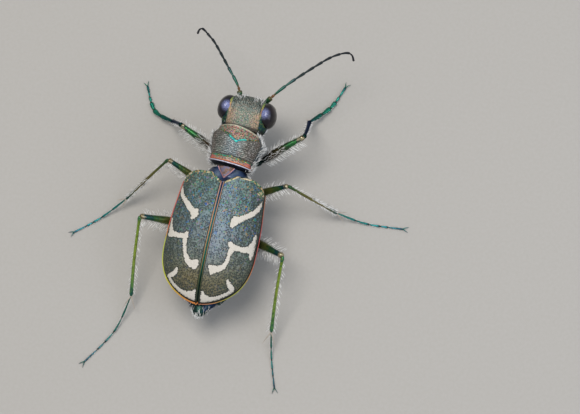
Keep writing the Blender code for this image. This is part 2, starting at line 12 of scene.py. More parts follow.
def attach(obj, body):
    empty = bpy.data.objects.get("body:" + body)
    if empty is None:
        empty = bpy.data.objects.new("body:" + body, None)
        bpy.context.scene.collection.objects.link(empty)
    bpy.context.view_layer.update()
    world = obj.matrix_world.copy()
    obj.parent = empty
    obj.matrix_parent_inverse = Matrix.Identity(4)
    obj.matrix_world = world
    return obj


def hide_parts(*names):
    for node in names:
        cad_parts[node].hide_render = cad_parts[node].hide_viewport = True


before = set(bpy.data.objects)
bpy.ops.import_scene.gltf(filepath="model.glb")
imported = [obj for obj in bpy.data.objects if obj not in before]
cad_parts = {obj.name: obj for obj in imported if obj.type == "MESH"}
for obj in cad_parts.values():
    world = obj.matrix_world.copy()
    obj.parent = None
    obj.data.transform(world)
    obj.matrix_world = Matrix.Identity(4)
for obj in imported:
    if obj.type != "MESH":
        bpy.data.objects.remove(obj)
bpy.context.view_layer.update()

# A life-size still model of a tiger beetle, in metres, +Z up, head toward +Y. Each piece is
# modelled in millimetres in the frame of the body part that carries it, then set in place.

# Wing cases
# The hardened fore wings, two domed shells of cuticle that meet along the back and turn under
# at the outer rim. Finely pitted, with ivory bands, copper seams and a bright metallic rim.
MM = 0.001
FROM_ORIGIN = Vector((-0.45, -2.32, 0.0))  # of the point below the wing cases' middle
RIM_HEIGHT = 3.7
BODY_PITCH = math.radians(5.0)
STAND = Matrix.Scale(MM, 4) @ Matrix.Translation(FROM_ORIGIN)
TRUNK = (
    STAND
    @ Matrix.Translation((0.0, 0.0, RIM_HEIGHT))
    @ Matrix.Rotation(BODY_PITCH, 4, "X")
)

CASE_APEX = -4.0
CASE_BASE = 4.0
CASE_WIDEST = -0.3
CASE_HALF_WIDTH = 2.82
CASE_BASE_WIDTH = 2.42
CASE_FRONT_TAPER = 1.9
CASE_HIND_TAPER = 2.9
CASE_HIND_ROUND = 0.62
CASE_CROWN = 1.15
CASE_CROWN_AT = 0.3
CASE_BASE_CROWN = 0.90
CROWN_HIND_TAPER = 2.2
CASE_SIDE_POWER = 0.90
CASE_ARCH_POWER = 0.85
CASE_FOLD = 0.35
CASE_FOLD_IN = 0.22
CASE_FOLD_FROM = 0.86
SHOULDER_DROP = 0.75
SHOULDER_FROM = 0.62
NOTCH_DEPTH = 0.55
NOTCH_SHARE = 0.32
CASE_WALL = 0.15
CASE_PARTING = 0.012  # half the crack between the two cases
CASE_GRID = (116, 176)
CASE_CROWDING = 0.75  # how far the grid is drawn toward the seam and the rim

# Centre lines of the ivory bands: across, along the trunk, and half width.
BANDS = {
    -1: (
        ((-2.62, 3.25, 0.03), (-2.52, 2.80, 0.05), (-2.38, 2.36, 0.08), (-2.15, 2.06, 0.10),
         (-1.82, 1.75, 0.13), (-1.47, 1.41, 0.15), (-1.21, 1.18, 0.21)),
        ((-1.21, 1.22, 0.16), (-1.14, 1.45, 0.08)),
        ((-1.24, 1.14, 0.17), (-1.28, 0.96, 0.10)),
        ((-2.66, 0.78, 0.02), (-2.60, 0.35, 0.06), (-2.52, 0.02, 0.12), (-2.46, -0.20, 0.15)),
        ((-2.46, -0.20, 0.18), (-2.05, -0.24, 0.12), (-1.73, -0.27, 0.12), (-1.45, -0.24, 0.15)),
        ((-1.45, -0.22, 0.14), (-1.42, -0.06, 0.09)),
        ((-1.47, -0.30, 0.13), (-1.40, -0.77, 0.08), (-1.26, -1.26, 0.08), (-1.00, -1.67, 0.13),
         (-0.72, -1.86, 0.18), (-0.52, -1.82, 0.22)),
        ((-0.49, -1.80, 0.18), (-0.45, -1.68, 0.12)),
        ((-0.52, -1.88, 0.18), (-0.52, -2.02, 0.10)),
        ((-1.58, -2.26, 0.05), (-1.62, -2.45, 0.10), (-1.76, -2.60, 0.12), (-1.98, -2.70, 0.10),
         (-2.02, -2.86, 0.06), (-1.80, -3.13, 0.06), (-1.49, -3.38, 0.07), (-1.09, -3.56, 0.10),
         (-0.72, -3.64, 0.15), (-0.40, -3.62, 0.19)),
        ((-0.36, -3.60, 0.16), (-0.24, -3.36, 0.06)),
        ((-0.34, -3.64, 0.16), (-0.24, -3.80, 0.08)),
    ),
    1: (
        ((2.60, 2.86, 0.02), (2.50, 2.50, 0.05), (2.40, 2.16, 0.09), (2.22, 1.90, 0.11),
         (1.92, 1.62, 0.13), (1.60, 1.38, 0.15), (1.33, 1.20, 0.22)),
        ((1.32, 1.24, 0.16), (1.26, 1.42, 0.08)),
        ((1.30, 1.12, 0.18), (1.22, 0.88, 0.10)),
        ((2.66, 0.66, 0.02), (2.64, 0.20, 0.07), (2.58, -0.12, 0.14), (2.54, -0.30, 0.17)),
        ((2.62, -0.40, 0.10), (2.66, -0.80, 0.03)),
        ((2.54, -0.28, 0.17), (2.20, -0.40, 0.13), (1.86, -0.40, 0.12), (1.52, -0.36, 0.14),
         (1.38, -0.22, 0.12)),
        ((1.54, -0.46, 0.14), (1.45, -0.84, 0.08), (1.38, -1.34, 0.08), (1.24, -1.68, 0.10),
         (0.92, -1.86, 0.16), (0.66, -1.92, 0.22)),
        ((0.60, -1.90, 0.18), (0.48, -1.82, 0.12)),
        ((0.64, -1.96, 0.18), (0.61, -2.14, 0.10)),
        ((1.68, -2.42, 0.06), (1.76, -2.60, 0.11), (1.92, -2.78, 0.13), (2.05, -2.92, 0.08),
         (1.95, -3.08, 0.06), (1.69, -3.32, 0.07), (1.35, -3.53, 0.09), (1.00, -3.68, 0.12),
         (0.66, -3.72, 0.16), (0.36, -3.66, 0.20)),
        ((0.33, -3.62, 0.16), (0.24, -3.38, 0.07)),
        ((0.32, -3.70, 0.16), (0.26, -3.86, 0.07)),
    ),
}
FAR = 9.0  # further than any place is from its nearest line
BAND_RIM = 0.10  # the bands stop this far from the rim
BAND_SEAM = 0.20  # and this far from the seam
# The hind band follows the rim from here to the seam, and widens on the way.
BORDER_FROM = {-1: -2.76, 1: -2.92}
BORDER_LENGTH = 0.95
BORDER_HALF = (0.045, 0.11)
RIM_LEDGE = {-1: 0.09, 1: 0.05}  # the left margin is drawn out a little more
RIM_TOP = {-1: 0.07, 1: 0.05}


def case_half_width(y):
    """Half width of the closed wing cases at a place along the trunk."""
    if y > CASE_WIDEST:
        share = (y - CASE_WIDEST) / (CASE_BASE - CASE_WIDEST)
        narrowed = (CASE_HALF_WIDTH - CASE_BASE_WIDTH) * share ** CASE_FRONT_TAPER
        return CASE_HALF_WIDTH - narrowed
    share = min((CASE_WIDEST - y) / (CASE_WIDEST - CASE_APEX), 1.0)
    return CASE_HALF_WIDTH * (1.0 - share ** CASE_HIND_TAPER) ** CASE_HIND_ROUND


def case_crown(y):
    """Height of the closed wing cases over their rims."""
    if y > CASE_CROWN_AT:
        share = (y - CASE_CROWN_AT) / (CASE_BASE - CASE_CROWN_AT)
        return CASE_CROWN - (CASE_CROWN - CASE_BASE_CROWN) * share ** 2.0
    share = min((CASE_CROWN_AT - y) / (CASE_CROWN_AT - CASE_APEX), 1.0)
    return CASE_CROWN * (1.0 - share ** CROWN_HIND_TAPER) ** CASE_HIND_ROUND


def case_point(across, along):
    """A place on a wing case. Both shares run 0 to 1: suture to rim, and base to apex."""
    share = min(across / CASE_FOLD_FROM, 1.0)
    angle = share * math.pi / 2.0
    side = math.sin(angle) ** CASE_SIDE_POWER
    if side < NOTCH_SHARE:
        base = CASE_BASE - NOTCH_DEPTH * (1.0 - side / NOTCH_SHARE)
    else:
        outer = max((side - SHOULDER_FROM) / (1.0 - SHOULDER_FROM), 0.0)
        base = CASE_BASE - SHOULDER_DROP * (1.0 - math.sqrt(1.0 - outer ** 2.0))
    y = base + (CASE_APEX - base) * math.sin(along * math.pi / 2.0)
    fold = max((across - CASE_FOLD_FROM) / (1.0 - CASE_FOLD_FROM), 0.0)
    x = max(case_half_width(y) * side - CASE_FOLD_IN * fold, 0.0)
    z = case_crown(y) * math.cos(angle) ** CASE_ARCH_POWER - CASE_FOLD * fold
    return Vector((x, y, z))


def crowded(across):
    """Shares from suture to rim, drawn toward both, where the relief is finest."""
    share = min(across / CASE_FOLD_FROM, 1.0)
    drawn = share - CASE_CROWDING * math.sin(share * math.tau) / math.tau
    return max(across, CASE_FOLD_FROM) - CASE_FOLD_FROM * (1.0 - drawn)


def swell(distance, width):
    """A soft round ridge: 1 at no distance, falling to nothing past the width."""
    return math.exp(-((distance / width) ** 2.0))


def case_relief(place, side):
    """How far the shell stands out of the plain dome: seam bead, rim bead and shoulder."""
    x, y = place.x, place.y
    seam = 0.032 * swell(x - 0.08, 0.035) - 0.01 * swell(x - 0.17, 0.04) - 0.05 * swell(x, 0.035)
    rim = RIM_LEDGE[side] * swell(place.z, 0.05) - 0.02 * swell(place.z - 0.17, 0.05)
    shoulder = 0.07 * swell(math.hypot(x - 1.95, (y - 3.05) * 0.7), 0.38)
    dimple = -0.05 * swell(math.hypot(x - 1.35, (y - 3.15) * 0.6), 0.34)
    waves = 0.012 * noise.noise(place * 0.8) + 0.006 * noise.noise(place * 2.4)
    return seam + rim + shoulder + dimple + waves


def distance_to_bands(places, bands):
    """Distance of each place from the edge of the nearest band, below zero inside it."""
    nearest = np.full(len(places), FAR)
    for band in bands:
        for start, end in zip(band, band[1:]):
            start, end = np.array(start), np.array(end)
            way = end[:2] - start[:2]
            share = np.clip((places - start[:2]) @ way / (way @ way), 0.0, 1.0)
            gap = places - start[:2] - share[:, None] * way
            half_width = start[2] + (end[2] - start[2]) * share
            nearest = np.minimum(nearest, np.hypot(gap[:, 0], gap[:, 1]) - half_width)
    return nearest


def linear(colour):
    """An sRGB hex colour as the linear values that a shader takes."""
    parts = [int(colour[index:index + 2], 16) / 255.0 for index in (1, 3, 5)]
    return (*[p / 12.92 if p <= 0.04045 else ((p + 0.055) / 1.055) ** 2.4 for p in parts], 1.0)


SMOOTH = {"interpolation_type": "SMOOTHSTEP"}  # a soft mask, from 0 at input 1 to 1 at input 2
TIMES = {"operation": "MULTIPLY"}


def feed(node, inputs):
    """Links or sets a node's inputs. A text stands for an sRGB hex colour."""
    for socket, value in inputs.items():
        if isinstance(value, bpy.types.NodeSocket):
            node.id_data.links.new(value, node.inputs[socket])
        else:
            value = linear(value) if isinstance(value, str) else value
            node.inputs[socket].default_value = value


def add_node(tree, kind, inputs, take=0, stops=(), **settings):
    """Adds a shader node with its settings, colour stops and links, and gives an output."""
    node = tree.nodes.new("ShaderNode" + kind)
    for name, value in settings.items():
        setattr(node, name, value)
    feed(node, inputs)
    elements = node.color_ramp.elements if stops else ()
    while len(elements) < len(stops):
        elements.new(0.5)
    for element, (place, colour) in zip(elements, stops):
        element.position = place
        element.color = linear(colour)
    return node.outputs[take]


def paint(add, colour, layers):
    """Lays tints over a colour, each where its masks say, multiplied with one another.

    A mask is an output from 0 to 1, or a source that it softly follows, with the source's
    values where the mask is 0 and where it is full, and how full that is when it isn't 1."""
    for tint, *masks in layers:
        cover = None
        for mask in masks:
            if isinstance(mask, tuple):
                source, start, end, full = (*mask, 1.0)[:4]
                mask = add("MapRange", {0: source, 1: start, 2: end, 4: full}, **SMOOTH)
            cover = mask if cover is None else add("Math", {0: cover, 1: mask}, **TIMES)
        colour = add("Mix", {0: cover, 6: colour, 7: tint}, 2, data_type="RGBA")
    return colour


def place_on(add, carrier):
    """The place on a body part, in millimetres in its carrier's own frame."""
    where, turn, size = carrier.decompose()
    own = add("TexCoord", {}, "Object")
    return add("Mapping", {0: own, 1: where, 2: turn.to_euler(), 3: size}, vector_type="TEXTURE")


def new_finish(name, roughness, metallic):
    """A material, its Principled shader, and what adds nodes to its tree."""
    finish = bpy.data.materials.new(name)
    finish.use_nodes = True
    shader = finish.node_tree.nodes["Principled BSDF"]
    feed(shader, {"Roughness": roughness, "Metallic": metallic})
    return finish, shader, partial(add_node, finish.node_tree)


def dress(shader, add, colour, height, strength, depth, **settings):
    """Gives a shader its colour, and its fine relief of a depth in millimetres."""
    bump = {"Strength": strength, "Distance": depth * MM, "Height": height}
    feed(shader, {"Base Color": colour, "Normal": add("Bump", bump, **settings)})


def set_in_place(name, bm, carrier, finish):
    """Sets a piece modelled in millimetres in its carrier's frame, as a smooth mesh object."""
    bmesh.ops.transform(bm, matrix=carrier, verts=bm.verts)
    mesh = bpy.data.meshes.new(name)
    bm.to_mesh(mesh)
    bm.free()
    mesh.materials.append(finish)
    mesh.shade_smooth()
    piece = bpy.data.objects.new(name, mesh)
    bpy.context.scene.collection.objects.link(piece)
    return piece


def store(mesh, name, values):
    """Keeps one number for each vertex, for the material to read."""
    mesh.attributes.new(name, "FLOAT", "POINT").data.foreach_set("value", values)


# Cuticle with a microscopic honeycomb of pits. The eye sees a satin grey-olive ground with
# tiny blue, green and copper glints, about one to a pit. The glints, the shade in the pits and
# the highlights on their walls are painted.
PIT_SPACING = 0.095  # really about 0.06 mm
GROUND = ((0.0, "#684e24"), (0.16, "#5e5430"), (0.34, "#4c544c"), (0.55, "#48575c"),
          (0.74, "#46605f"), (1.0, "#44625a"))
# Colours of the highlights painted on the pit walls, from tip to base.
LIT_PIT_WALLS = ((0.0, "#a48c60"), (0.25, "#8c8a70"), (0.45, "#848f8f"), (0.70, "#84989f"),
             (1.0, "#7c9a90"))
SEAM = ((0.0, "#2c3a26"), (0.20, "#4c5834"), (0.34, "#8c7448"), (0.60, "#c4946c"),
        (0.86, "#c09884"), (1.0, "#b88478"))
VALLEY = ((0.0, "#0c1c16"), (0.18, "#163c30"), (0.32, "#388874"), (0.62, "#469898"),
          (0.84, "#345c80"), (1.0, "#242c58"))
RIM_COLOURS = {
    -1: ((0.0, "#dc8c48"), (0.06, "#dcb448"), (0.16, "#d4d850"), (0.43, "#ccd858"),
         (0.49, "#dc9058"), (0.58, "#e06458"), (0.86, "#dc7464"), (1.0, "#7a4a38")),
    1: ((0.0, "#d8906c"), (0.03, "#d49c60"), (0.08, "#b4b84c"), (0.20, "#c0c058"),
        (0.28, "#d08850"), (0.40, "#cc6450"), (0.62, "#cc5c5c"), (0.84, "#b87c5c"),
        (1.0, "#8a6048")),
}
# A sheen painted along the seam, stronger on the right case, which catches more light there.
SEAM_SHEEN = {-1: "#4c5a62", 1: "#7c8a9c"}
SEAM_SHEEN_STRENGTH = {-1: 0.28, 1: 0.56}
# Painted shade on the flanks, deeper on the right.
FLANK_SHADE = {-1: "#424c44", 1: "#364038"}


def wing_case_finish(name, side):
    """The cuticle of one wing case. Its colours shift from the tip to the base."""
    finish, shader, add = new_finish(name, 0.52, 0.40)
    place = place_on(add, TRUNK)
    along = add("SeparateXYZ", {0: place}, 1)
    up = along.node.outputs[2]
    from_seam, from_rim, from_base, from_band = (
        add("Attribute", {}, "Fac", attribute_name="from_" + part)
        for part in ("seam", "rim", "base", "band"))
    clouds, patches, grain = (
        add("TexNoise", {"Vector": place, "Scale": scale, "Detail": detail})
        for scale, detail in ((0.9, 3.0), (2.6, 2.0), (14.0, 2.0)))
    pits = add("TexVoronoi", {0: place, "Scale": 1.0 / PIT_SPACING, "Randomness": 0.65})
    draw = add("SeparateColor", {0: pits.node.outputs["Color"]}, 0)
    share = add("MapRange", {0: along, 1: CASE_APEX, 2: CASE_BASE})
    ground, lit_pit_walls, seam, valley, rim = (
        add("ValToRGB", {0: share}, stops=stops)
        for stops in (GROUND, LIT_PIT_WALLS, SEAM, VALLEY, RIM_COLOURS[side]))
    # Colours of the painted glints, one to a pit.
    glints = add("ValToRGB", {0: draw}, stops=(
        (0.0, "#2450a0"), (0.26, "#3474a8"), (0.42, "#308a68"), (0.58, "#6c8c4c"),
        (0.74, "#b08448"), (1.0, "#5a62a0")))
    # The base edge: teal-green cuticle in patches with dark gaps, and painted whitish highlights.
    base_edge_and_highlights = add("ValToRGB", {0: patches}, stops=(
        (0.38, "#b8ac88"), (0.44, "#3c8464"), (0.48, "#20282c"), (0.52, "#b89c64"),
        (0.58, "#d0c8b0"), (0.66, "#2c3c34")))
    front = add("MapRange", {0: along, 1: -2.2, 2: 2.4, 3: 0.10, 4: 0.80}, **SMOOTH)
    gathered = add("MapRange", {0: patches, 1: 0.42, 2: 0.60, 3: 0.12}, **SMOOTH)
    ragged = add("MapRange", {0: pits, 1: 0.1, 2: 0.6, 3: 0.025, 4: -0.045})
    edge = add("Math", {0: from_band, 1: ragged}, operation="ADD")
    band = add("MapRange", {0: edge, 1: 0.014, 2: -0.014}, **SMOOTH)
    ivory = paint(add, "#bbb4a6", (("#dcd8ce", grain),))
    top = RIM_TOP[side]
    colour = paint(add, ground, (
        # Painted sheen along the seam, fading toward the hind end.
        (SEAM_SHEEN[side], (from_seam, 1.9, 0.4, SEAM_SHEEN_STRENGTH[side]), (along, -3.2, -0.6)),
        # Painted shade on the flanks, within 1.5 mm of the rim.
        (FLANK_SHADE[side], (from_rim, 1.5, 0.1, 0.85)), ("#545e52", (clouds, 0.45, 0.62, 0.3)),
        # Painted shade in the pits, and painted highlights on their walls.
        ("#262d2c", (pits, 0.52, 0.20, 0.85)), (lit_pit_walls, (pits, 0.50, 0.75, 0.45)),
        # Painted glints on some pits, gathered in patches, most toward the front.
        (glints, (draw.node.outputs[1], 0.55, 0.85), front, gathered),
        # Painted shade in the groove beside the seam bead.
        (base_edge_and_highlights, (from_base, 0.16, 0.10)), ("#10140f", (from_seam, 0.17, 0.13, 0.75)),
        (seam, (from_seam, 0.112, 0.092), (from_seam, 0.046, 0.058)),
        (valley, (from_seam, 0.052, 0.040)), ("#23291f", (edge, 0.085, 0.015, 0.75)),
        (ivory, band), ("#0a100c", (up, top + 0.11, top + 0.07)),
        (rim, (up, top + 0.01, top - 0.01)), ("#12302c", (up, -0.05, -0.08)),
    ))
    pit = add("MapRange", {0: pits, 1: 0.52, 2: 0.20}, **SMOOTH)
    height = add("Math", {0: pit, 1: -1.0, 2: grain}, operation="MULTIPLY_ADD")
    dress(shader, add, colour, height, add("MapRange", {0: band, 3: 0.7, 4: 0.25}), 0.015)
    feed(shader, {"Metallic": add("MapRange", {0: band, 3: 0.40, 4: 0.0})})
    return finish


OUTLINE_STEPS = 600
SIDES = (("left", -1), ("right", 1))
WELD = 1e-4  # corners of a grid nearer than this are one


def tree_of(points):
    """A search tree for the distance from a line of points, seen from above."""
    tree = kdtree.KDTree(len(points))
    for index, point in enumerate(points):
        tree.insert((point.x, point.y, 0.0), index)
    tree.balance()
    return tree


def face_up(bm):
    """Turns the faces of a sheet to look up."""
    bm.normal_update()
    if sum(face.normal.z for face in bm.faces) < 0.0:
        bmesh.ops.reverse_faces(bm, faces=bm.faces)
        bm.normal_update()


steps = [step / (OUTLINE_STEPS - 1) for step in range(OUTLINE_STEPS)]
rim_tree = tree_of([case_point(CASE_FOLD_FROM, step) for step in steps])
base_tree = tree_of([case_point(step, 0.0) for step in steps])

for name, side in SIDES:
    bm = bmesh.new()
    across, down = CASE_GRID
    bmesh.ops.create_grid(bm, x_segments=across, y_segments=down, size=0.5)
    for vert in bm.verts:
        vert.co = case_point(crowded(vert.co.x + 0.5), vert.co.y + 0.5)
    bmesh.ops.remove_doubles(bm, verts=bm.verts, dist=WELD)
    face_up(bm)
    moves = [vert.normal * case_relief(vert.co, side) for vert in bm.verts]
    for vert, move in zip(bm.verts, moves):
        vert.co += move
        vert.co.x = max(vert.co.x, 0.0) + CASE_PARTING
    bmesh.ops.solidify(bm, geom=bm.faces, thickness=CASE_WALL)
    if side < 0:
        bmesh.ops.scale(bm, vec=(-1.0, 1.0, 1.0), verts=bm.verts)
    bmesh.ops.recalc_face_normals(bm, faces=bm.faces)
    places = np.array([vert.co[:] for vert in bm.verts])
    rims = np.array([rim_tree.find((abs(p[0]), p[1], 0.0))[2] for p in places])
    bases = np.array([base_tree.find((abs(p[0]), p[1], 0.0))[2] for p in places])
    bands = distance_to_bands(places[:, :2], BANDS[side])
    border = np.clip((BORDER_FROM[side] - places[:, 1]) / BORDER_LENGTH, 0.0, 1.0)
    border_half = BORDER_HALF[0] + (BORDER_HALF[1] - BORDER_HALF[0]) * border ** 2.0
    start = np.maximum(places[:, 1] - BORDER_FROM[side], 0.0)
    bands = np.minimum(bands, np.abs(rims - BAND_RIM - border_half) - border_half + start)
    bands = np.maximum(bands, BAND_RIM - rims)
    bands = np.maximum(bands, BAND_SEAM - np.abs(places[:, 0]))
    case = set_in_place(
        "wing_case_" + name, bm, TRUNK, wing_case_finish("pitted cuticle, " + name, side))
    store(case.data, "from_seam", np.abs(places[:, 0]))
    store(case.data, "from_rim", rims)
    store(case.data, "from_base", bases)
    store(case.data, "from_band", bands)
    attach(case, "root")
    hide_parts("elytron_" + name)

# Scutellum
# The small shield of the middle thorax, a polished copper-pink triangle wedged between the
# bases of the wing cases, with a raised edge and dark blue seams.
SHIELD_BASE = 4.42
SHIELD_APEX = 3.66
SHIELD_HALF_WIDTH = 0.60
SHIELD_TAPER = 0.85
SHIELD_TOP = 0.86
SHIELD_WALL = 0.14

bm = bmesh.new()
bmesh.ops.create_grid(bm, x_segments=28, y_segments=28, size=1.0)
for vert in bm.verts:
    across, back = vert.co.x, (vert.co.y + 1.0) / 2.0
    half_width = SHIELD_HALF_WIDTH * (1.0 - back) ** SHIELD_TAPER
    rim = max(abs(across), back)
    lift = 0.05 * (1.0 - across ** 2.0) - 0.03 * swell(rim - 0.84, 0.07) + 0.05 * back
    front = 0.06 * (1.0 - across ** 2.0)
    y = SHIELD_BASE + front * (1.0 - back) + (SHIELD_APEX - SHIELD_BASE) * back
    vert.co = (half_width * across, y, SHIELD_TOP + lift)
bmesh.ops.remove_doubles(bm, verts=bm.verts, dist=WELD)
face_up(bm)
bmesh.ops.solidify(bm, geom=bm.faces, thickness=SHIELD_WALL)
bmesh.ops.recalc_face_normals(bm, faces=bm.faces)
places = np.array([vert.co[:] for vert in bm.verts])

# Polished cuticle with a metal shine: copper in the middle, blue-black at the seams.
finish, shader, add = new_finish("polished copper cuticle", 0.42, 0.40)
clouds = add("TexNoise", {"Vector": place_on(add, TRUNK), "Scale": 5.0, "Detail": 3.0})
edge = add("Attribute", {}, "Fac", attribute_name="from_edge")
colour = add("ValToRGB", {0: clouds}, stops=(
    (0.36, "#3c2c28"), (0.48, "#64483c"), (0.58, "#504c60"),
))
colour = paint(add, colour, (("#a4746c", (edge, 0.12, 0.08)), ("#2c3860", (edge, 0.06, 0.04))))
dress(shader, add, colour, clouds, 0.3, 0.01)

shield = set_in_place("scutellum_plate", bm, TRUNK, finish)
half_widths = SHIELD_HALF_WIDTH * np.clip(
    (places[:, 1] - SHIELD_APEX) / (SHIELD_BASE - SHIELD_APEX), 0.0, 1.0) ** SHIELD_TAPER
store(shield.data, "from_edge", (half_widths - np.abs(places[:, 0])) * 0.8)
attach(shield, "root")
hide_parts("scutellum")

# Thorax
# The middle and hind thorax: a hard box under the wing cases that carries the middle and hind
# legs. In front it narrows to a dark blue collar, which shows before the wing cases.
BELLY_LEVEL = -0.70
BELLY_DROP = 0.74
BELLY_INSET = 0.34
BELLY_CLEAR = CASE_WALL + 0.06
THORAX_HIND = 0.60
THORAX_FRONT = 3.2
THORAX_ROWS = 26
HIP_GROOVES = (1.45, 3.35)
COLLAR_ROWS = 28
BODY_POWERS = (1.8, 2.1)  # how square the sections are, above and below
BODY_AROUND = 96
# Sections: place along the trunk, height, tilt in degrees, half width, rise and drop.
COLLAR = (
    (3.55, -0.42, 0, 1.78, 1.10, 0.88),
    (3.85, -0.28, 0, 1.52, 1.10, 0.84),
    (4.10, -0.22, 0, 1.34, 1.02, 0.80),
    (4.30, -0.20, 0, 1.22, 0.94, 0.74),
    (4.46, -0.18, 0, 1.10, 0.84, 0.66),
)


def flowing(rows, count):
    """A smooth run of count rows through the given ones."""
    rows = [np.array(row, dtype=float) for row in rows]
    run = []
    for step in range(count):
        place = step / (count - 1) * (len(rows) - 1)
        index = min(int(place), len(rows) - 2)
        t = place - index
        before, start, end = rows[max(index - 1, 0)], rows[index], rows[index + 1]
        after = rows[min(index + 2, len(rows) - 1)]
        run.append(0.5 * (
            2.0 * start + (end - before) * t
            + (2.0 * before - 5.0 * start + 4.0 * end - after) * t * t
            + (3.0 * start - before - 3.0 * end + after) * t ** 3.0))
    return run


def section_place(section, turn, powers):
    """A place on a superelliptic section, at a share of a turn from the right side."""
    along, height, tilt, half_width, rise, drop = section
    across, lift = math.cos(turn * math.tau), math.sin(turn * math.tau)
    power = 2.0 / (powers[0] if lift > 0.0 else powers[1])
    x = half_width * math.copysign(abs(across) ** power, across)
    z = (rise if lift > 0.0 else drop) * math.copysign(abs(lift) ** power, lift)
    lean = math.radians(tilt)
    return Vector((x, along - math.sin(lean) * z, height + math.cos(lean) * z))


def wrap(around, rows, place_at):
    """A closed skin: a flat grid wrapped round by place_at(turn, row), its seam merged.

    Each vertex keeps its share of the way along the rows."""
    bm = bmesh.new()
    along = bm.verts.layers.float.new("along")
    bmesh.ops.create_grid(bm, x_segments=around, y_segments=rows, size=0.5)
    for vert in bm.verts:
        vert[along] = vert.co.y + 0.5
        vert.co = place_at(vert.co.x + 0.5, round(vert[along] * rows))
    bmesh.ops.remove_doubles(bm, verts=bm.verts, dist=WELD)
    bmesh.ops.recalc_face_normals(bm, faces=bm.faces)
    return bm


def lofted(sections, powers, around=BODY_AROUND):
    """A closed body through a run of sections, with its ends drawn in to a point."""
    first, last = np.array(sections[0]), np.array(sections[-1])
    closed = [first.copy(), *sections, last.copy()]
    closed[0][3:] = 0.0
    closed[-1][3:] = 0.0
    return wrap(around, len(closed) - 1, lambda turn, row: section_place(
        closed[row], turn, powers))


def raise_skin(bm, relief):
    """Moves each place on a skin outward by its relief, and gives its places for hairs.

    Each is a place, its normal and its share of the way round and along the body."""
    bm.normal_update()
    moves = [vert.normal * relief(vert.co) for vert in bm.verts]
    for vert, move in zip(bm.verts, moves):
        vert.co += move
    along = bm.verts.layers.float["along"]
    return [
        (vert.co.copy(), vert.normal.copy(),
         (0.5 + math.atan2(vert.co.x, vert.co.z) / math.tau, vert[along])) for vert in bm.verts]


def belly_section(y):
    """A section of thorax or abdomen that fits under the wing cases."""
    half_width = max(case_half_width(y) - BELLY_INSET, 0.02)
    top = case_crown(y) - BELLY_CLEAR
    return (y, BELLY_LEVEL, 0.0, half_width, top - BELLY_LEVEL, BELLY_DROP)


def share_of(start, end, value):
    """How far a value is on its way from start to end, held between 0 and 1."""
    return min(max((value - start) / (end - start), 0.0), 1.0)


def thorax_relief(place):
    """Grooves between the plates of the thorax: along the middle, and across before the hips."""
    below = share_of(-0.2, -0.9, place.z)
    middle = -0.06 * swell(place.x, 0.07) * below
    hips = sum(
        -0.09 * swell(place.y - at - 0.18 * abs(place.x), 0.06) for at in HIP_GROOVES) * below
    side = -0.05 * swell(place.z + 0.05 + 0.12 * place.y, 0.06)
    return middle + hips + side + 0.012 * noise.noise(place * 2.0)


sections = [belly_section(y) for y in np.linspace(THORAX_HIND, THORAX_FRONT, THORAX_ROWS)]
bm = lofted(sections + flowing(COLLAR, COLLAR_ROWS), BODY_POWERS)
thorax_skin = raise_skin(bm, thorax_relief)

# Smooth dark blue-green cuticle with a metal shine, finely pricked where the hairs stand.
under_finish, shader, add = new_finish("dark blue cuticle", 0.30, 0.70)
place = place_on(add, TRUNK)
along = add("SeparateXYZ", {0: place}, 1)
clouds = add("TexNoise", {"Vector": place, "Scale": 1.1, "Detail": 3.0})
pricks = add("TexVoronoi", {0: place, "Scale": 5.5})
colour, collar_sheen_colour = (
    add("ValToRGB", {0: clouds}, stops=stops) for stops in (
        ((0.30, "#14204a"), (0.44, "#102844"), (0.54, "#103830"), (0.66, "#1c3430"),
         (0.78, "#3c2c2c")),
        ((0.38, "#22304c"), (0.50, "#44587c"), (0.62, "#6c7c90")),
    ))
# Painted sheen: the top of the collar, where it shows before the wing cases, is painted from dark
# blue to pale blue-grey, and made less metallic.
collar_front = add("MapRange", {0: along, 1: 3.4, 2: 3.7, 4: 0.9}, **SMOOTH)
collar_top = add("MapRange", {0: along.node.outputs[2], 1: 0.0, 2: 0.4}, **SMOOTH)
collar = add("Math", {0: collar_front, 1: collar_top}, **TIMES)
colour = paint(add, colour, ((collar_sheen_colour, collar), ("#05080c", (pricks, 0.14, 0.05))))
height = add("MapRange", {0: pricks, 1: 0.05, 2: 0.22}, **SMOOTH)
dress(shader, add, colour, height, 0.4, 0.02)
feed(shader, {"Metallic": add("MapRange", {0: collar, 3: 0.70, 4: 0.15})})

thorax = set_in_place("thorax_box", bm, TRUNK, under_finish)
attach(thorax, "root")
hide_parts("thorax")

# Abdomen
# Six overlapping belly rings that end in a blunt tip behind the wing cases. Each ring's hind
# edge stands a little over the next, as the plates slide on their soft skin.
RING_STEP = 0.13
ABDOMEN_HIND = -2.75
ABDOMEN_FRONT = 0.62
ABDOMEN_ROWS = 60
TAIL_ROWS = 26
RINGS_AT = (0.10, -0.85, -1.70, -2.45, -3.10, -3.70)
TAIL = (
    (-3.30, -0.90, 0, 1.46, 0.55, 0.52),
    (-3.85, -0.86, 0, 0.88, 0.42, 0.46),
    (-4.25, -0.80, 0, 0.56, 0.34, 0.38),
    (-4.52, -0.76, 0, 0.36, 0.26, 0.28),
    (-4.66, -0.74, 0, 0.16, 0.13, 0.14),
)


def ring_relief(place):
    """The step at each ring's hind edge, and a faint roll along the belly."""
    steps = 0.0
    for at in RINGS_AT:
        ahead = place.y - at + 0.10 * abs(place.x) * share_of(1.2, 2.4, abs(place.x))
        steps += RING_STEP * share_of(0.5, 0.0, ahead) ** 1.5 if ahead > 0.0 else 0.0
        steps -= 0.04 * swell(ahead + 0.04, 0.035)
    below = share_of(-0.3, -0.8, place.z)
    return steps * max(below, 0.3) + 0.01 * noise.noise(place * 2.2)


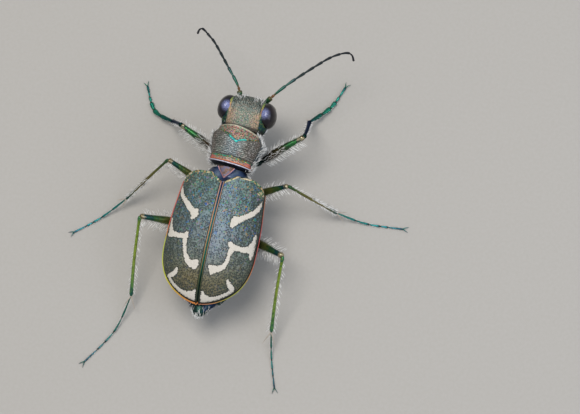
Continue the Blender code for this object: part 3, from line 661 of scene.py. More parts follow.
sections = [belly_section(y) for y in np.linspace(ABDOMEN_HIND, ABDOMEN_FRONT, ABDOMEN_ROWS)]
bm = lofted(flowing(TAIL[::-1], TAIL_ROWS) + sections, BODY_POWERS)
abdomen_skin = raise_skin(bm, ring_relief)
abdomen = set_in_place("abdomen_rings", bm, TRUNK, under_finish)
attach(abdomen, "root")
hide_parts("abdomen")

# Pronotum
# The shield behind the head, one barrel of bronze cuticle. A groove crosses it near each end
# and a fine line joins them along the middle; between them the back is finely wrinkled.
NECK = (
    STAND
    @ Matrix.Translation((0.10, 4.55, 4.42))
    @ Matrix.Rotation(math.radians(-5.0), 4, "Z")
    @ Matrix.Rotation(math.radians(5.0), 4, "X")
)
BARREL = (
    (0.00, 0.00, 0, 1.19, 0.66, 0.82),
    (0.06, 0.00, 0, 1.30, 0.78, 0.92),
    (0.16, 0.00, 0, 1.32, 0.80, 0.92),
    (0.34, 0.00, 0, 1.37, 0.82, 0.92),
    (0.62, 0.02, 0, 1.43, 0.89, 0.98),
    (1.05, 0.04, 0, 1.52, 0.96, 1.00),
    (1.50, 0.05, 0, 1.61, 0.98, 0.98),
    (1.82, 0.04, 0, 1.60, 0.94, 0.94),
    (2.06, 0.03, 0, 1.48, 0.87, 0.88),
    (2.24, 0.02, 0, 1.37, 0.81, 0.86),
    (2.33, 0.01, 0, 1.29, 0.76, 0.83),
    (2.37, 0.00, 0, 1.14, 0.66, 0.74),
)
BARREL_POWERS = (2.5, 2.1)
BARREL_GRID = (150, 190)
HIND_GROOVE = ((-1.40, 0.40), (-0.80, 0.42), (-0.12, 0.46), (0.0, 0.54), (0.12, 0.46),
               (0.80, 0.42), (1.40, 0.40))
APEX_AT = 0.12  # the grooves meet a little to the right of the middle
FRONT_GROOVE = ((-1.50, 2.06), (-0.86, 1.92), (-0.52, 1.78), (-0.24, 1.62), (APEX_AT, 1.42),
                (0.22, 1.53), (0.44, 1.64), (0.96, 1.78), (1.50, 1.98))
MIDDLE_GROOVE = ((0.04, 0.54), (APEX_AT, 1.42))
FRONT_ARCH = (0.11, 0.30)  # the front margin reaches forward in the middle and back at the sides
FRONT_SKEW = 0.06  # and a little further back on the right


def from_line(x, y, line):
    """Distance in the plane from a place to a line of points."""
    nearest = FAR
    for (x0, y0), (x1, y1) in zip(line, line[1:]):
        long, wide = x1 - x0, y1 - y0
        share = share_of(0.0, 1.0, ((x - x0) * long + (y - y0) * wide) / (long ** 2 + wide ** 2))
        nearest = min(nearest, math.hypot(x - x0 - share * long, y - y0 - share * wide))
    return nearest


def front_reach(x, y):
    """How far a place is moved forward for the arch of the front margin."""
    lead, lag = FRONT_ARCH
    return share_of(1.5, 2.3, y) * (lead - lag * (x / 1.4) ** 2.0 - FRONT_SKEW * x)


def barrel_relief(place):
    """Grooves, margin beads and fine wavy wrinkles of the pronotum."""
    x, y = place.x, place.y
    above = share_of(-0.15, 0.35, place.z)
    margin = y - front_reach(x, y)
    hind = -0.09 * swell(from_line(x, y, HIND_GROOVE), 0.085) * share_of(1.40, 0.95, abs(x))
    front = -0.085 * swell(from_line(x, y, FRONT_GROOVE), 0.075) * share_of(1.45, 1.0, abs(x))
    middle = -0.035 * swell(from_line(x, y, MIDDLE_GROOVE), 0.035)
    beads = 0.045 * (swell(y - 0.09, 0.06) + swell(margin - 2.30, 0.05))
    corners = 0.05 * swell(math.hypot(abs(x) - 1.02, y - 0.60), 0.22)
    wavy = y * 56.0 + 2.4 * noise.noise(Vector((x * 2.2, y * 2.2, 0.0))) + 1.1 * abs(x)
    inside = share_of(0.55, 0.75, y) * share_of(2.0, 1.7, y)
    wrinkles = 0.007 * math.sin(wavy) * inside
    edge = -0.05 * swell(place.z - 0.10 + 0.05 * y, 0.06)
    lumps = 0.02 * noise.noise(place * 1.6) + 0.008 * noise.noise(place * 7.0)
    return (hind + front + middle + corners + wrinkles) * above + beads + edge + lumps


around, rows = BARREL_GRID
bm = lofted(flowing(BARREL, rows), BARREL_POWERS, around)
forward = [vert.co.y for vert in bm.verts]
for vert in bm.verts:
    vert.co.y += front_reach(vert.co.x, vert.co.y)
barrel_skin = raise_skin(bm, barrel_relief)
places = [vert.co.copy() for vert in bm.verts]

# Bronze cuticle with a metal shine, engraved with wavy cross lines about 0.1 mm apart that
# break the light. The grooves shine turquoise and green, and the margins copper and rose.
finish, shader, add = new_finish("wrinkled bronze cuticle", 0.46, 0.45)
place = place_on(add, NECK)
across = add("SeparateXYZ", {0: place}, 0)
along, up = across.node.outputs[1], across.node.outputs[2]
sideways = add("Math", {0: across}, operation="ABSOLUTE")
from_apex = add("Math", {0: across, 1: APEX_AT}, operation="SUBTRACT")
from_apex = add("Math", {0: from_apex}, operation="ABSOLUTE")
behind = add("MapRange", {0: along, 1: 1.1, 2: 0.9})
groove, front_strip, forward_place = (
    add("Attribute", {}, "Fac", attribute_name=kept)
    for kept in ("from_groove", "before_groove", "forward"))
clouds, specks, fine = (
    add("TexNoise", {"Vector": place, "Scale": scale, "Detail": detail})
    for scale, detail in ((1.6, 4.0), (9.0, 3.0), (13.0, 2.0)))
waves = add("TexWave", {
    "Vector": place, "Scale": 2.9, "Distortion": 6.5, "Detail": 2.0, "Detail Scale": 1.6,
}, bands_direction="Y")
colour = add("ValToRGB", {0: clouds}, stops=(
    (0.34, "#5e5c52"), (0.46, "#76766e"), (0.54, "#6c7a70"), (0.66, "#80695c"),
))
strip_colour, groove_colour, outer_colour, hind_colour = (
    add("ValToRGB", {0: specks}, stops=stops) for stops in (
        ((0.34, "#488868"), (0.41, "#849074"), (0.47, "#9a968c"), (0.53, "#ac8864"),
         (0.59, "#bc7060"), (0.66, "#80809c")),
        ((0.36, "#1c6c90"), (0.46, "#20a0b0"), (0.54, "#38c4b0"), (0.64, "#60b490")),
        ((0.38, "#2c3028"), (0.46, "#4c9468"), (0.52, "#34342c"), (0.58, "#b8883c"),
         (0.66, "#c06c3c")),
        ((0.36, "#18948c"), (0.44, "#48b078"), (0.49, "#3c241c"), (0.55, "#5c2c24"),
         (0.62, "#b4b45c")),
    ))
strip_colour = paint(add, strip_colour, (("#382c24", (fine, 0.51, 0.42, 0.75)),))
groove_colour = paint(add, groove_colour, (
    (outer_colour, (from_apex, 0.48, 0.66)), (hind_colour, behind)))
broken = add("Math", {0: clouds, 1: 0.16, 2: along}, operation="MULTIPLY_ADD")
hind_strip = (broken, 0.56, 0.46, 0.85)
colour = paint(add, colour, (
    ("#8296a2", (sideways, 0.9, 0.1, 0.6)), ("#5e4c44", (sideways, 0.7, 1.3, 0.6)),
    # Painted shade in the hollows of the wavy wrinkles.
    ("#2e302e", (waves, 0.55, 0.15, 0.85)), ("#bcb6b0", (fine, 0.53, 0.66, 0.6)),
    (strip_colour, hind_strip), (strip_colour, front_strip),
    ("#d46460", hind_strip, (sideways, 0.88, 1.15, 0.8)), (groove_colour, (groove, 0.070, 0.030)),
    ("#b4b09c", (forward_place, 2.25, 2.28, 0.85)), ("#141814", (forward_place, 2.34, 2.36)),
    # The sides' teal, darkened as painted shade where they turn down away from the light.
    ("#103444", (up, 0.52, 0.26)), ("#cc7450", (along, 0.24, 0.20, 0.8)),
    ("#241c1c", (along, 0.155, 0.14, 0.8)), ("#ccc8d8", (along, 0.115, 0.095, 0.9)),
    # Painted shade on the hind face, over the gap before the collar.
    ("#0c1424", (along, 0.055, 0.035)),
))
height = add("Math", {0: fine, 1: 0.5, 2: waves}, operation="MULTIPLY_ADD")
dress(shader, add, colour, height, 0.7, 0.014)

barrel = set_in_place("pronotum_shield", bm, NECK, finish)
groove_xs, groove_ys = zip(*FRONT_GROOVE)
store(barrel.data, "forward", forward)
store(barrel.data, "before_groove", [
    share_of(0.02, 0.12, p.y - np.interp(p.x, groove_xs, groove_ys)) for p in places])
store(barrel.data, "from_groove", [min(
    from_line(p.x, p.y, HIND_GROOVE) + 0.01,
    from_line(p.x, p.y, FRONT_GROOVE) + 0.02 * max(abs(p.x) - 0.4, 0.0),
    from_line(p.x, p.y, MIDDLE_GROOVE) + 0.05,
) if p.z > 0.0 else 1.0 for p in places])
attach(barrel, "root")
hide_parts("pronotum")

# Head
# One hard capsule, widest at the eyes, with a ridge beside each eye, a wrinkled brow between
# them, and a short neck that turns in the front of the pronotum.
HEAD = (
    STAND
    @ Matrix.Translation((0.40, 8.10, 4.90))
    @ Matrix.Rotation(math.radians(-3.0), 4, "Z")
)
CAPSULE = (
    (-1.28, -0.17, 0, 1.26, 0.56, 0.66),
    (-1.00, -0.17, 0, 1.39, 0.65, 0.76),
    (-0.66, -0.17, 0, 1.43, 0.75, 0.90),
    (-0.25, -0.17, -4, 1.38, 0.82, 1.06),
    (0.18, -0.20, -18, 1.34, 0.86, 1.10),
    (0.45, -0.35, -35, 1.18, 0.76, 0.90),
    (0.62, -0.62, -50, 1.02, 0.54, 0.75),
    (0.76, -0.90, -62, 0.86, 0.36, 0.50),
    (0.84, -1.12, -68, 0.70, 0.26, 0.34),
)
CAPSULE_POWERS = (2.9, 2.1)
CAPSULE_GRID = (140, 150)
SOCKET_AT = Vector((0.76, 0.70, -0.40))
BROW_WAVES = 9.0


def capsule_relief(place):
    """Brow hollow, eye ridges, feeler sockets, lip groove, wrinkles and throat seams."""
    x, y, z = place
    above = share_of(-0.1, 0.3, z)
    side = abs(x)
    hollow = -0.10 * swell(x, 0.55) * swell(y - 0.15, 0.60)
    ridge = 0.17 * swell(side - 1.04 + 0.10 * y, 0.12) * swell(y - 0.05, 0.55)
    trench = -0.05 * swell(side - 0.86 + 0.10 * y, 0.05) * swell(y - 0.08, 0.50)
    from_socket = (Vector((side, y, z)) - SOCKET_AT).length
    socket = 0.06 * swell(from_socket - 0.20, 0.06) - 0.10 * swell(from_socket, 0.12)
    lip_groove = -0.05 * swell(z + 0.92, 0.05) * share_of(0.3, 0.5, y) * swell(x, 0.7)
    tilted = Vector((x * 1.4, y * BROW_WAVES * 0.25, z * 1.4))
    brow = 0.020 * math.sin(side * 52.0 + 7.0 * noise.noise(tilted * 2.6))
    brow *= share_of(-0.15, 0.15, y) * share_of(-0.9, -0.4, z) * above
    crown = 0.008 * math.sin(y * 75.0 + 5.0 * noise.noise(place * 2.4)) * share_of(0.1, -0.2, y)
    below = share_of(-0.6, -0.9, z)
    throat = -0.05 * swell(side - 0.42 + 0.12 * y, 0.05) * below * share_of(0.5, 0.2, y)
    cheeks = 0.010 * math.sin(z * 48.0 + 3.0 * y)
    cheeks *= share_of(0.8, 1.0, side) * share_of(0.1, -0.1, z)
    lumps = 0.015 * noise.noise(place * 2.1) + 0.008 * noise.noise(place * 8.0)
    return (hollow + (ridge + trench + crown) * above + brow + socket + lip_groove
            + throat + cheeks + lumps)


around, rows = CAPSULE_GRID
bm = lofted(flowing(CAPSULE, rows), CAPSULE_POWERS, around)
capsule_skin = raise_skin(bm, capsule_relief)

# Olive-bronze cuticle with a metal shine: copper specks on the crown, grey-green wrinkles on
# the brow, green and orange along the eyes, and dark green temples and cheeks.
finish, shader, add = new_finish("ridged olive-bronze cuticle", 0.46, 0.45)
place = place_on(add, HEAD)
across = add("SeparateXYZ", {0: place}, 0)
along, up = across.node.outputs[1], across.node.outputs[2]
sideways = add("Math", {0: across}, operation="ABSOLUTE")
clouds, specks, fine = (
    add("TexNoise", {"Vector": place, "Scale": scale, "Detail": detail})
    for scale, detail in ((2.2, 3.0), (8.0, 3.0), (19.0, 2.0)))
wriggles = add("TexWave", {
    "Vector": place, "Scale": 2.4, "Distortion": 9.0, "Detail": 2.0, "Detail Scale": 2.0,
}, bands_direction="X")
colour, crown_colour, temple_colour = (
    add("ValToRGB", {0: specks}, stops=stops) for stops in (
        ((0.36, "#5c6864"), (0.46, "#6c7872"), (0.54, "#7c8278"), (0.62, "#847468"),
         (0.74, "#6c807c")),
        ((0.34, "#5c6870"), (0.41, "#587c60"), (0.49, "#84887c"), (0.55, "#8c8474"),
         (0.62, "#908478"), (0.70, "#70749c")),
        ((0.36, "#0c3c50"), (0.45, "#082420"), (0.53, "#0c3c30"), (0.60, "#1c5030"),
         (0.68, "#64582c")),
    ))
eye_colour = add("ValToRGB", {0: add("MapRange", {0: along, 1: -0.4, 2: 0.7})}, stops=(
    (0.0, "#3c9448"), (0.18, "#c09c44"), (0.34, "#c07850"), (0.52, "#b0a040"), (0.75, "#98b054"),
    (1.0, "#3c6c50"),
))
low_colour = add("ValToRGB", {0: clouds}, stops=(
    (0.35, "#0c2a44"), (0.5, "#0e3a30"), (0.65, "#2a4a2c"),
))
face = add("MapRange", {0: up, 1: -0.6, 2: -0.1, 3: 0.5})
crown = (along, 0.05, -0.35, 0.9)
colour = paint(add, colour, (
    (crown_colour, crown),
    ("#b47c50", (sideways, 0.25, 0.95, 0.75), (fine, 0.44, 0.54), crown),
    ("#a8a89c", (fine, 0.54, 0.66, 0.55)), ("#2c302a", (fine, 0.49, 0.37, 0.75)),
    # Painted shade in the hollows of the brow's wriggles.
    ("#1c211f", (along, 0.0, 0.3), (wriggles, 0.42, 0.12, 0.85), face),
    (eye_colour, (sideways, 0.92, 1.02, 0.75), (along, -0.45, -0.20)),
    (temple_colour, (sideways, 0.98, 1.06), (along, -0.20, -0.40)),
    (low_colour, (up, 0.15, -0.10), (along, 0.75, 0.45)), ("#141814", (along, -1.0, -1.16, 0.85)),
))
height = add("Math", {0: fine, 1: 0.6, 2: wriggles}, operation="MULTIPLY_ADD")
dress(shader, add, colour, height, 0.7, 0.014)

capsule = set_in_place("head_capsule", bm, HEAD, finish)
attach(capsule, "root")
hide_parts("head")

# Eyes
# Two bulging compound eyes, each a dome of thousands of tiny clear lenses over dark pigment,
# set in a hard rim at the side of the head.
EYE_AT = Vector((1.29, 0.0, -0.03))
EYE_SIZE = Vector((0.57, 0.80, 0.76))
EYE_TURN = math.radians(-12.0)
FACET_SPACING = 0.06  # really about 0.025 mm
PAINTED_SHEEN_AT = (1.20, -0.10, 0.0)  # middle of the painted lavender sheen, seen from above

# Clear lenses over purple-brown pigment: a deep gloss with a fine grain, darker toward the bottom,
# and a lavender sheen painted on the inner side as a reflection.
finish, shader, add = new_finish("faceted eye", 0.34, 0.0)
feed(shader, {
    "Specular IOR Level": 0.25, "Specular Tint": "#8c90b0", "Coat Weight": 0.8,
    "Coat Roughness": 0.20,
})
place = place_on(add, HEAD)
up = add("SeparateXYZ", {0: place}, 2)
sideways = add("Math", {0: up.node.outputs[0]}, operation="ABSOLUTE")
over_head = add("CombineXYZ", {0: sideways, 1: up.node.outputs[1]})
from_painted_sheen = add("VectorMath", {0: over_head, 1: PAINTED_SHEEN_AT}, "Value", operation="DISTANCE")
facets = add("TexVoronoi", {0: place, "Scale": 1.0 / FACET_SPACING})
clouds = add("TexNoise", {"Vector": place, "Scale": 3.0, "Detail": 2.0})
colour = add("ValToRGB", {0: add("MapRange", {0: up, 1: -0.5, 2: 0.8})}, stops=(
    (0.0, "#050305"), (0.45, "#0a0607"), (0.75, "#0f090b"), (1.0, "#140e12"),
))
colour = paint(add, colour, (
    # Painted reflection: a lavender sheen on the inner side of each eye.
    ("#24161a", (clouds, 0.45, 0.65, 0.5)), ("#9098cc", (from_painted_sheen, 0.46, 0.04, 0.95)),
    ("#0a070b", (facets, 0.35, 0.6, 0.5)),
))
dress(shader, add, colour, facets, 0.35, 0.01, invert=True)
for name, side in SIDES:
    bm = bmesh.new()
    bmesh.ops.create_uvsphere(bm, u_segments=64, v_segments=40, radius=1.0)
    for vert in bm.verts:
        ball = Vector([vert.co[i] * EYE_SIZE[i] for i in range(3)])
        ball.rotate(Matrix.Rotation(-EYE_TURN, 3, "Z"))
        ball += EYE_AT
        vert.co = (ball.x * side, ball.y, ball.z)
    bmesh.ops.recalc_face_normals(bm, faces=bm.faces)
    eye = set_in_place("compound_eye_" + name, bm, HEAD, finish)
    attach(eye, "root")
    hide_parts("eye_" + name)

# Upper lip
# The labrum, a thin ivory plate that hangs over the jaws, with a toothed front edge, a row of
# bristle pits and a brown rim.
LIP_AT = Vector((0.0, 0.90, -1.16))
LIP_TILT = math.radians(-66.0)
LIP_THICKNESS = 0.16
LIP_LENGTH = 0.72
LIP_HALF_WIDTH = 0.66
LIP_PITS = (-0.50, -0.32, -0.12, 0.12, 0.32, 0.50)
LIP = HEAD @ Matrix.Translation(LIP_AT) @ Matrix.Rotation(LIP_TILT, 4, "X")


def lip_front(x):
    """How far the lip reaches: rounded corners and three teeth in the middle."""
    corner = 0.20 * share_of(0.30, 0.60, abs(x)) ** 2.0
    teeth = 0.08 * (swell(x, 0.07) + 0.7 * swell(abs(x) - 0.22, 0.06))
    return LIP_LENGTH - 0.08 - corner + teeth


bm = bmesh.new()
bmesh.ops.create_grid(bm, x_segments=60, y_segments=36, size=0.5)
for vert in bm.verts:
    x = vert.co.x * 2.0 * LIP_HALF_WIDTH
    out = vert.co.y + 0.5
    y = -0.06 + (lip_front(x) + 0.06) * out
    dome = 0.11 * (1.0 - (x / LIP_HALF_WIDTH) ** 2.0) - 0.05 * out ** 2.0
    pits = sum(0.03 * swell(math.hypot(x - at, y - lip_front(x) + 0.12), 0.03) for at in LIP_PITS)
    vert.co = (x, y, dome - pits)
face_up(bm)
bmesh.ops.solidify(bm, geom=bm.faces, thickness=LIP_THICKNESS)
bmesh.ops.recalc_face_normals(bm, faces=bm.faces)

# Unpigmented cuticle: smooth ivory with a waxy gloss, browner at its toothed edge.
finish, shader, add = new_finish("ivory cuticle", 0.30, 0.0)
feed(shader, {
    "Subsurface Weight": 0.15, "Subsurface Radius": (0.3 * MM, 0.2 * MM, 0.1 * MM),
    "Subsurface Scale": 1.0,
})
place = place_on(add, LIP)
along = add("SeparateXYZ", {0: place}, 1)
clouds = add("TexNoise", {"Vector": place, "Scale": 6.0, "Detail": 3.0})
colour = paint(add, "#a89878", (
    ("#cfc3a4", clouds), ("#5a3c22", (along, 0.46, 0.64, 0.85)),
    ("#4a4a38", (along, 0.08, -0.04, 0.7)),
))
dress(shader, add, colour, clouds, 0.2, 0.01)
lip = set_in_place("upper_lip", bm, LIP, finish)
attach(lip, "root")
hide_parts("labrum")

# Jaws
# Two sickle-shaped mandibles, black-bronze at the toothed inner edge and the tips, with an ivory
# patch at the outer base. They are held a little open, so that the teeth and the lip show.
JAW_PATH = (
    (0.80, 0.62, -1.04), (1.04, 0.92, -1.58), (0.99, 1.14, -2.02), (0.66, 1.28, -2.36),
    (0.20, 1.34, -2.58),
)
# Share of the way along, and half thickness.
JAW_PROFILE = ((0.0, 0.20), (0.05, 0.27), (0.30, 0.25), (0.55, 0.18), (0.80, 0.10), (0.95, 0.05),
               (1.0, 0.015))
JAW_DEPTH = 1.15  # of its section, as a share of the width
WAY_STEPS = 100  # of a course along which teeth or hairs are set
# Share of the way along, length and half thickness of each tooth of the inner edge.
JAW_TEETH = ((0.22, 0.60, 0.18), (0.40, 0.60, 0.15), (0.56, 0.52, 0.12), (0.71, 0.40, 0.09))


def course(points, count):
    """Evenly spaced places on the smooth curve through points."""
    fine = np.array([row[:3] for row in flowing(points, 40 * len(points))])
    gone = np.concatenate([[0.0], np.cumsum(np.linalg.norm(np.diff(fine, axis=0), axis=1))])
    even = np.linspace(0.0, gone[-1], count)
    return [Vector(place) for place in zip(*(np.interp(even, gone, axis) for axis in fine.T))]


def headings(spots):
    """At each spot of a course, a turn that points Y along it and keeps Z up."""
    ahead = [spots[min(i + 1, len(spots) - 1)] - spots[max(i - 1, 0)] for i in range(len(spots))]
    return [way.to_track_quat("Y", "Z").to_matrix() for way in ahead]


def limb(points, profile, rings, around, depth=1.0):
    """A closed tube on a smooth course, with a profile of (share along, half thickness)."""
    spots = course(points, rings)
    turns = headings(spots)
    shares, sizes = zip(*profile)

    def place_at(turn, row):
        """A place on the tube. Its first and last rows are drawn in to a point."""
        index = min(max(row - 1, 0), rings - 1)
        size = 0.0 if row in (0, rings + 1) else np.interp(index / (rings - 1), shares, sizes)
        angle = turn * math.tau
        ring = Vector((math.cos(angle), 0.0, depth * math.sin(angle))) * size
        return spots[index] + turns[index] @ ring

    return wrap(around, rings + 1, place_at)


def join(bm, others):
    """Adds other closed shapes to one."""
    for other in others:
        scrap = bpy.data.meshes.new("scrap")
        other.to_mesh(scrap)
        other.free()
        bm.from_mesh(scrap)
        bpy.data.meshes.remove(scrap)
    return bm


def mirrored(points, side):
    """Points of the right side, on either side."""
    return [(point[0] * side, *point[1:]) for point in points]


# Polished hard cuticle, black-bronze toward the teeth, ivory at the outer base.
finish, shader, add = new_finish("jaw cuticle", 0.22, 0.25)
along = add("Attribute", {}, "Fac", attribute_name="along")
place = place_on(add, HEAD)
sideways = add("Math", {0: add("SeparateXYZ", {0: place}, 0)}, operation="ABSOLUTE")
specks = add("TexNoise", {"Vector": place, "Scale": 7.0, "Detail": 3.0})
colour = add("ValToRGB", {0: along}, stops=(
    (0.0, "#1a1410"), (0.45, "#241812"), (0.75, "#1a120e"), (1.0, "#0a0808"),
))
uneven = add("MapRange", {0: specks, 1: 0.35, 2: 0.65, 3: -0.06, 4: 0.06})
outer, near = (
    add("Math", {0: source, 1: uneven}, operation="ADD") for source in (sideways, along))
colour = paint(add, colour, (
    ("#4a3820", (specks, 0.48, 0.62, 0.4)), ("#cabd9c", (outer, 0.98, 1.10), (near, 0.44, 0.32)),
))
dress(shader, add, colour, specks, 0.15, 0.01)

for name, side in SIDES:
    points = mirrored(JAW_PATH, side)
    bm = limb(points, JAW_PROFILE, rings=60, around=28, depth=JAW_DEPTH)
    way = course(points, WAY_STEPS + 1)
    teeth = []
    for share, length, half in JAW_TEETH:
        index = round(share * WAY_STEPS)
        start = way[index]
        ahead = (way[index + 5] - start).normalized()
        inward = Vector((-0.88 * side, 0.10, -0.30)) + 0.35 * ahead
        end = start + inward.normalized() * length
        teeth.append(limb(
            (start, start.lerp(end, 0.55) + 0.02 * ahead, end),
            ((0.0, half), (0.45, 0.75 * half), (0.85, 0.3 * half), (1.0, 0.008)),
            rings=12, around=12))
    jaw = set_in_place("jaw_" + name, join(bm, teeth), HEAD, finish)
    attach(jaw, "root")
    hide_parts("mandible_" + name)

# Palps
# Two pairs of jointed palps under the jaws, for feeling food. Each joint is a slim club that
# narrows at its root, and the last one is darker, with a cut-off tip.
OUTER_PALP = ((0.60, -0.02, -1.14), (0.68, 0.02, -1.66), (0.82, 0.30, -2.14),
              (0.80, 0.52, -2.54), (0.68, 0.70, -2.90))
INNER_PALP = ((0.32, -0.52, -1.12), (0.34, -0.55, -1.62), (0.37, -0.40, -2.12),
              (0.33, -0.21, -2.45), (0.29, -0.07, -2.66))
# Where each joint starts, as a share of the whole.
OUTER_JOINTS = (0.0, 0.10, 0.42, 0.68, 1.0)
INNER_JOINTS = (0.0, 0.16, 0.66, 1.0)
PALP_PINCH = 0.45  # thickness where a joint starts, as a share of its greatest


def jointed(starts, sizes, pinch):
    """A profile of clubs: each joint is narrow where it starts and swells toward its end."""
    profile = []
    for index, size in enumerate(sizes):
        start, end = starts[index], starts[index + 1]
        span = end - start
        for share, part in ((0.0, pinch), (0.08, 0.62), (0.5, 0.86), (0.86, 1.0), (0.97, 0.86)):
            profile.append((start + share * span, size * part))
    profile.append((1.0, 0.35 * sizes[-1]))
    return profile


# Thin brown cuticle, glossy and slightly clear, with a dark green-black last joint.
finish, shader, add = new_finish("brown palp cuticle", 0.30, 0.15)
along = add("Attribute", {}, "Fac", attribute_name="along")
specks = add("TexNoise", {"Vector": place_on(add, HEAD), "Scale": 8.0, "Detail": 3.0})
colour = add("ValToRGB", {0: along}, stops=(
    (0.0, "#4a3424"), (0.30, "#7a5a38"), (0.62, "#8a6a44"), (0.70, "#2c2a20"), (1.0, "#10201c"),
))
colour = paint(add, colour, (("#3a2a1c", (specks, 0.45, 0.65, 0.35)),))
dress(shader, add, colour, specks, 0.2, 0.01)
for name, side in SIDES:
    for kind, points, starts, sizes in (
        ("maxillary", OUTER_PALP, OUTER_JOINTS, (0.11, 0.11, 0.10, 0.11)),
        ("labial", INNER_PALP, INNER_JOINTS, (0.10, 0.11, 0.12)),
    ):
        bm = limb(mirrored(points, side), jointed(starts, sizes, PALP_PINCH), rings=90, around=18)
        palp = set_in_place("_".join((kind, "palp", name)), bm, HEAD, finish)
        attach(palp, "root")
        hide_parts("_".join(("palp", kind, name)))

# Feelers
# Two antennae of eleven joints. The first is a stout club, the next three are smooth and
# metallic, and the rest are dull with fine down, slightly thicker at each end.
FEELERS = {
    "left": ((-0.30, 8.84, 4.54), (-0.55, 9.58, 4.92), (-1.43, 10.66, 5.10), (-2.62, 12.06, 5.00),
             (-3.17, 12.55, 4.95), (-3.65, 12.92, 4.90), (-3.90, 12.90, 4.80),
             (-3.99, 12.62, 4.70)),
    "right": ((1.18, 8.82, 4.52), (1.70, 9.34, 4.92), (2.55, 10.30, 5.10), (3.97, 11.83, 5.00),
              (4.75, 12.58, 4.90), (5.48, 13.00, 4.80), (5.84, 12.98, 4.65),
              (6.02, 12.66, 4.50)),
}
FEELER_JOINTS = (0.0, 0.105, 0.135, 0.27, 0.375, 0.475, 0.57, 0.66, 0.75, 0.835, 0.92, 1.0)
FEELER_PINCH = 0.55
FEELER_SIZES = (0.165, 0.095, 0.102, 0.100, 0.094, 0.092, 0.090, 0.086, 0.082, 0.078, 0.070)

# Metallic cuticle on the first four joints, then dull down-covered cuticle, violet-black.
finish, shader, add = new_finish("feeler cuticle", 0.35, 0.6)
along = add("Attribute", {}, "Fac", attribute_name="along")
specks = add("TexNoise", {"Vector": place_on(add, STAND), "Scale": 9.0, "Detail": 3.0})
colour = add("ValToRGB", {0: along}, stops=(
    (0.0, "#1c4a30"), (0.08, "#2c5c38"), (0.13, "#8a5c3c"), (0.17, "#1c5c48"), (0.25, "#2c5a50"),
    (0.30, "#245048"), (0.37, "#2a4648"), (0.42, "#263434"), (0.70, "#232c30"), (1.0, "#1a1c24"),
))
colour = paint(add, colour, (("#15181e", (specks, 0.45, 0.65, 0.4)),))
dress(shader, add, colour, specks, 0.3, 0.008)
feed(shader, {"Roughness": add("MapRange", {0: along, 1: 0.36, 2: 0.40, 3: 0.30, 4: 0.62})})
for name, points in FEELERS.items():
    bm = limb(points, jointed(FEELER_JOINTS, FEELER_SIZES, FEELER_PINCH), rings=260, around=16)
    feeler = set_in_place("feeler_" + name, bm, STAND, finish)
    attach(feeler, "root")
    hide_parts("antenna_" + name)

# Legs
# Six long running legs. Each has a hip cone, a short ring with the thigh, a slim shin with two
# spurs, and a foot of five joints with two claws. Front feet are broad, as on a male.
LEGS = {
    "front_left": ((-0.42, 5.50, 3.40), (-0.86, 5.66, 2.70), (-3.71, 6.82, 3.90),
                   (-5.16, 7.98, 0.75), (-6.65, 8.66, 0.20), (-7.58, 10.25, 0.10)),
    "front_right": ((0.82, 5.38, 3.40), (1.24, 5.56, 2.70), (4.01, 7.47, 3.90),
                    (3.46, 9.55, 0.75), (4.46, 10.95, 0.20), (5.05, 12.49, 0.10)),
    "middle_left": ((-0.85, 3.35, 2.60), (-1.20, 3.66, 1.92), (-4.08, 4.62, 3.40),
                    (-6.77, 2.37, 0.80), (-8.27, 1.02, 0.12), (-9.72, -0.21, 0.08)),
    "middle_right": ((0.85, 3.35, 2.60), (1.20, 3.66, 1.92), (3.68, 4.34, 3.40),
                     (6.53, 3.99, 0.80), (8.38, 3.86, 0.12), (10.69, 3.97, 0.08)),
    "hind_left": ((-0.95, 1.35, 2.40), (-1.20, 1.25, 1.66), (-4.85, 0.66, 3.60),
                  (-4.79, -3.76, 1.00), (-5.49, -5.97, 0.14), (-6.86, -8.23, 0.07)),
    "hind_right": ((0.95, 1.35, 2.40), (1.20, 1.20, 1.66), (4.45, -0.14, 3.60),
                   (4.35, -4.28, 1.00), (4.57, -5.66, 0.14), (5.18, -7.46, 0.07)),
}
HIP_PROFILE = ((0.0, 0.34), (0.10, 0.44), (0.5, 0.42), (0.74, 0.35), (0.88, 0.26), (0.96, 0.17),
               (1.0, 0.06))
THIGH_PROFILE = (
    (0.0, 0.40), (0.02, 0.70), (0.07, 0.82), (0.11, 0.60), (0.13, 0.62), (0.22, 0.95), (0.36, 1.0),
    (0.60, 0.86), (0.82, 0.62), (0.92, 0.58), (0.965, 0.66), (0.99, 0.52), (1.0, 0.2),
)
SHIN_PROFILE = (
    (0.0, 0.60), (0.01, 0.95), (0.04, 1.25), (0.07, 1.0), (0.12, 0.86), (0.5, 0.92), (0.88, 1.05),
    (0.97, 1.25), (1.0, 0.7),
)
FOOT_JOINTS = (0.0, 0.30, 0.50, 0.66, 0.78, 1.0)
THIGH_HALF = {"front": 0.26, "middle": 0.24, "hind": 0.28}
SHIN_HALF = {"front": 0.125, "middle": 0.095, "hind": 0.10}
FOOT_HALF = {
    "front": (0.15, 0.16, 0.15, 0.095, 0.08), "middle": (0.075, 0.072, 0.07, 0.068, 0.06),
    "hind": (0.062, 0.060, 0.058, 0.056, 0.052),
}
FOOT_PINCH = 0.42
FOOT_DEPTH = 0.85
THIGH_BOW = Vector((0.0, 0.0, 0.10))
SHIN_BOW = {"front": 0.03, "middle": 0.03, "hind": 0.06}
SPUR_LENGTH = {"front": 0.60, "middle": 0.72, "hind": 0.95}
SPUR_HALF = 0.045
SPUR_BEND = Vector((0.0, 0.0, 0.05))
SPUR_SPREAD = 0.45
SPUR_RISE = Vector((0.0, 0.0, 0.25))
CLAW_LENGTH = 0.42
CLAW_HALF = 0.035
CLAW_BEND = Vector((0.0, 0.0, 0.16))
CLAW_DROP = 0.08
CLAW_SPREAD = math.radians(26.0)


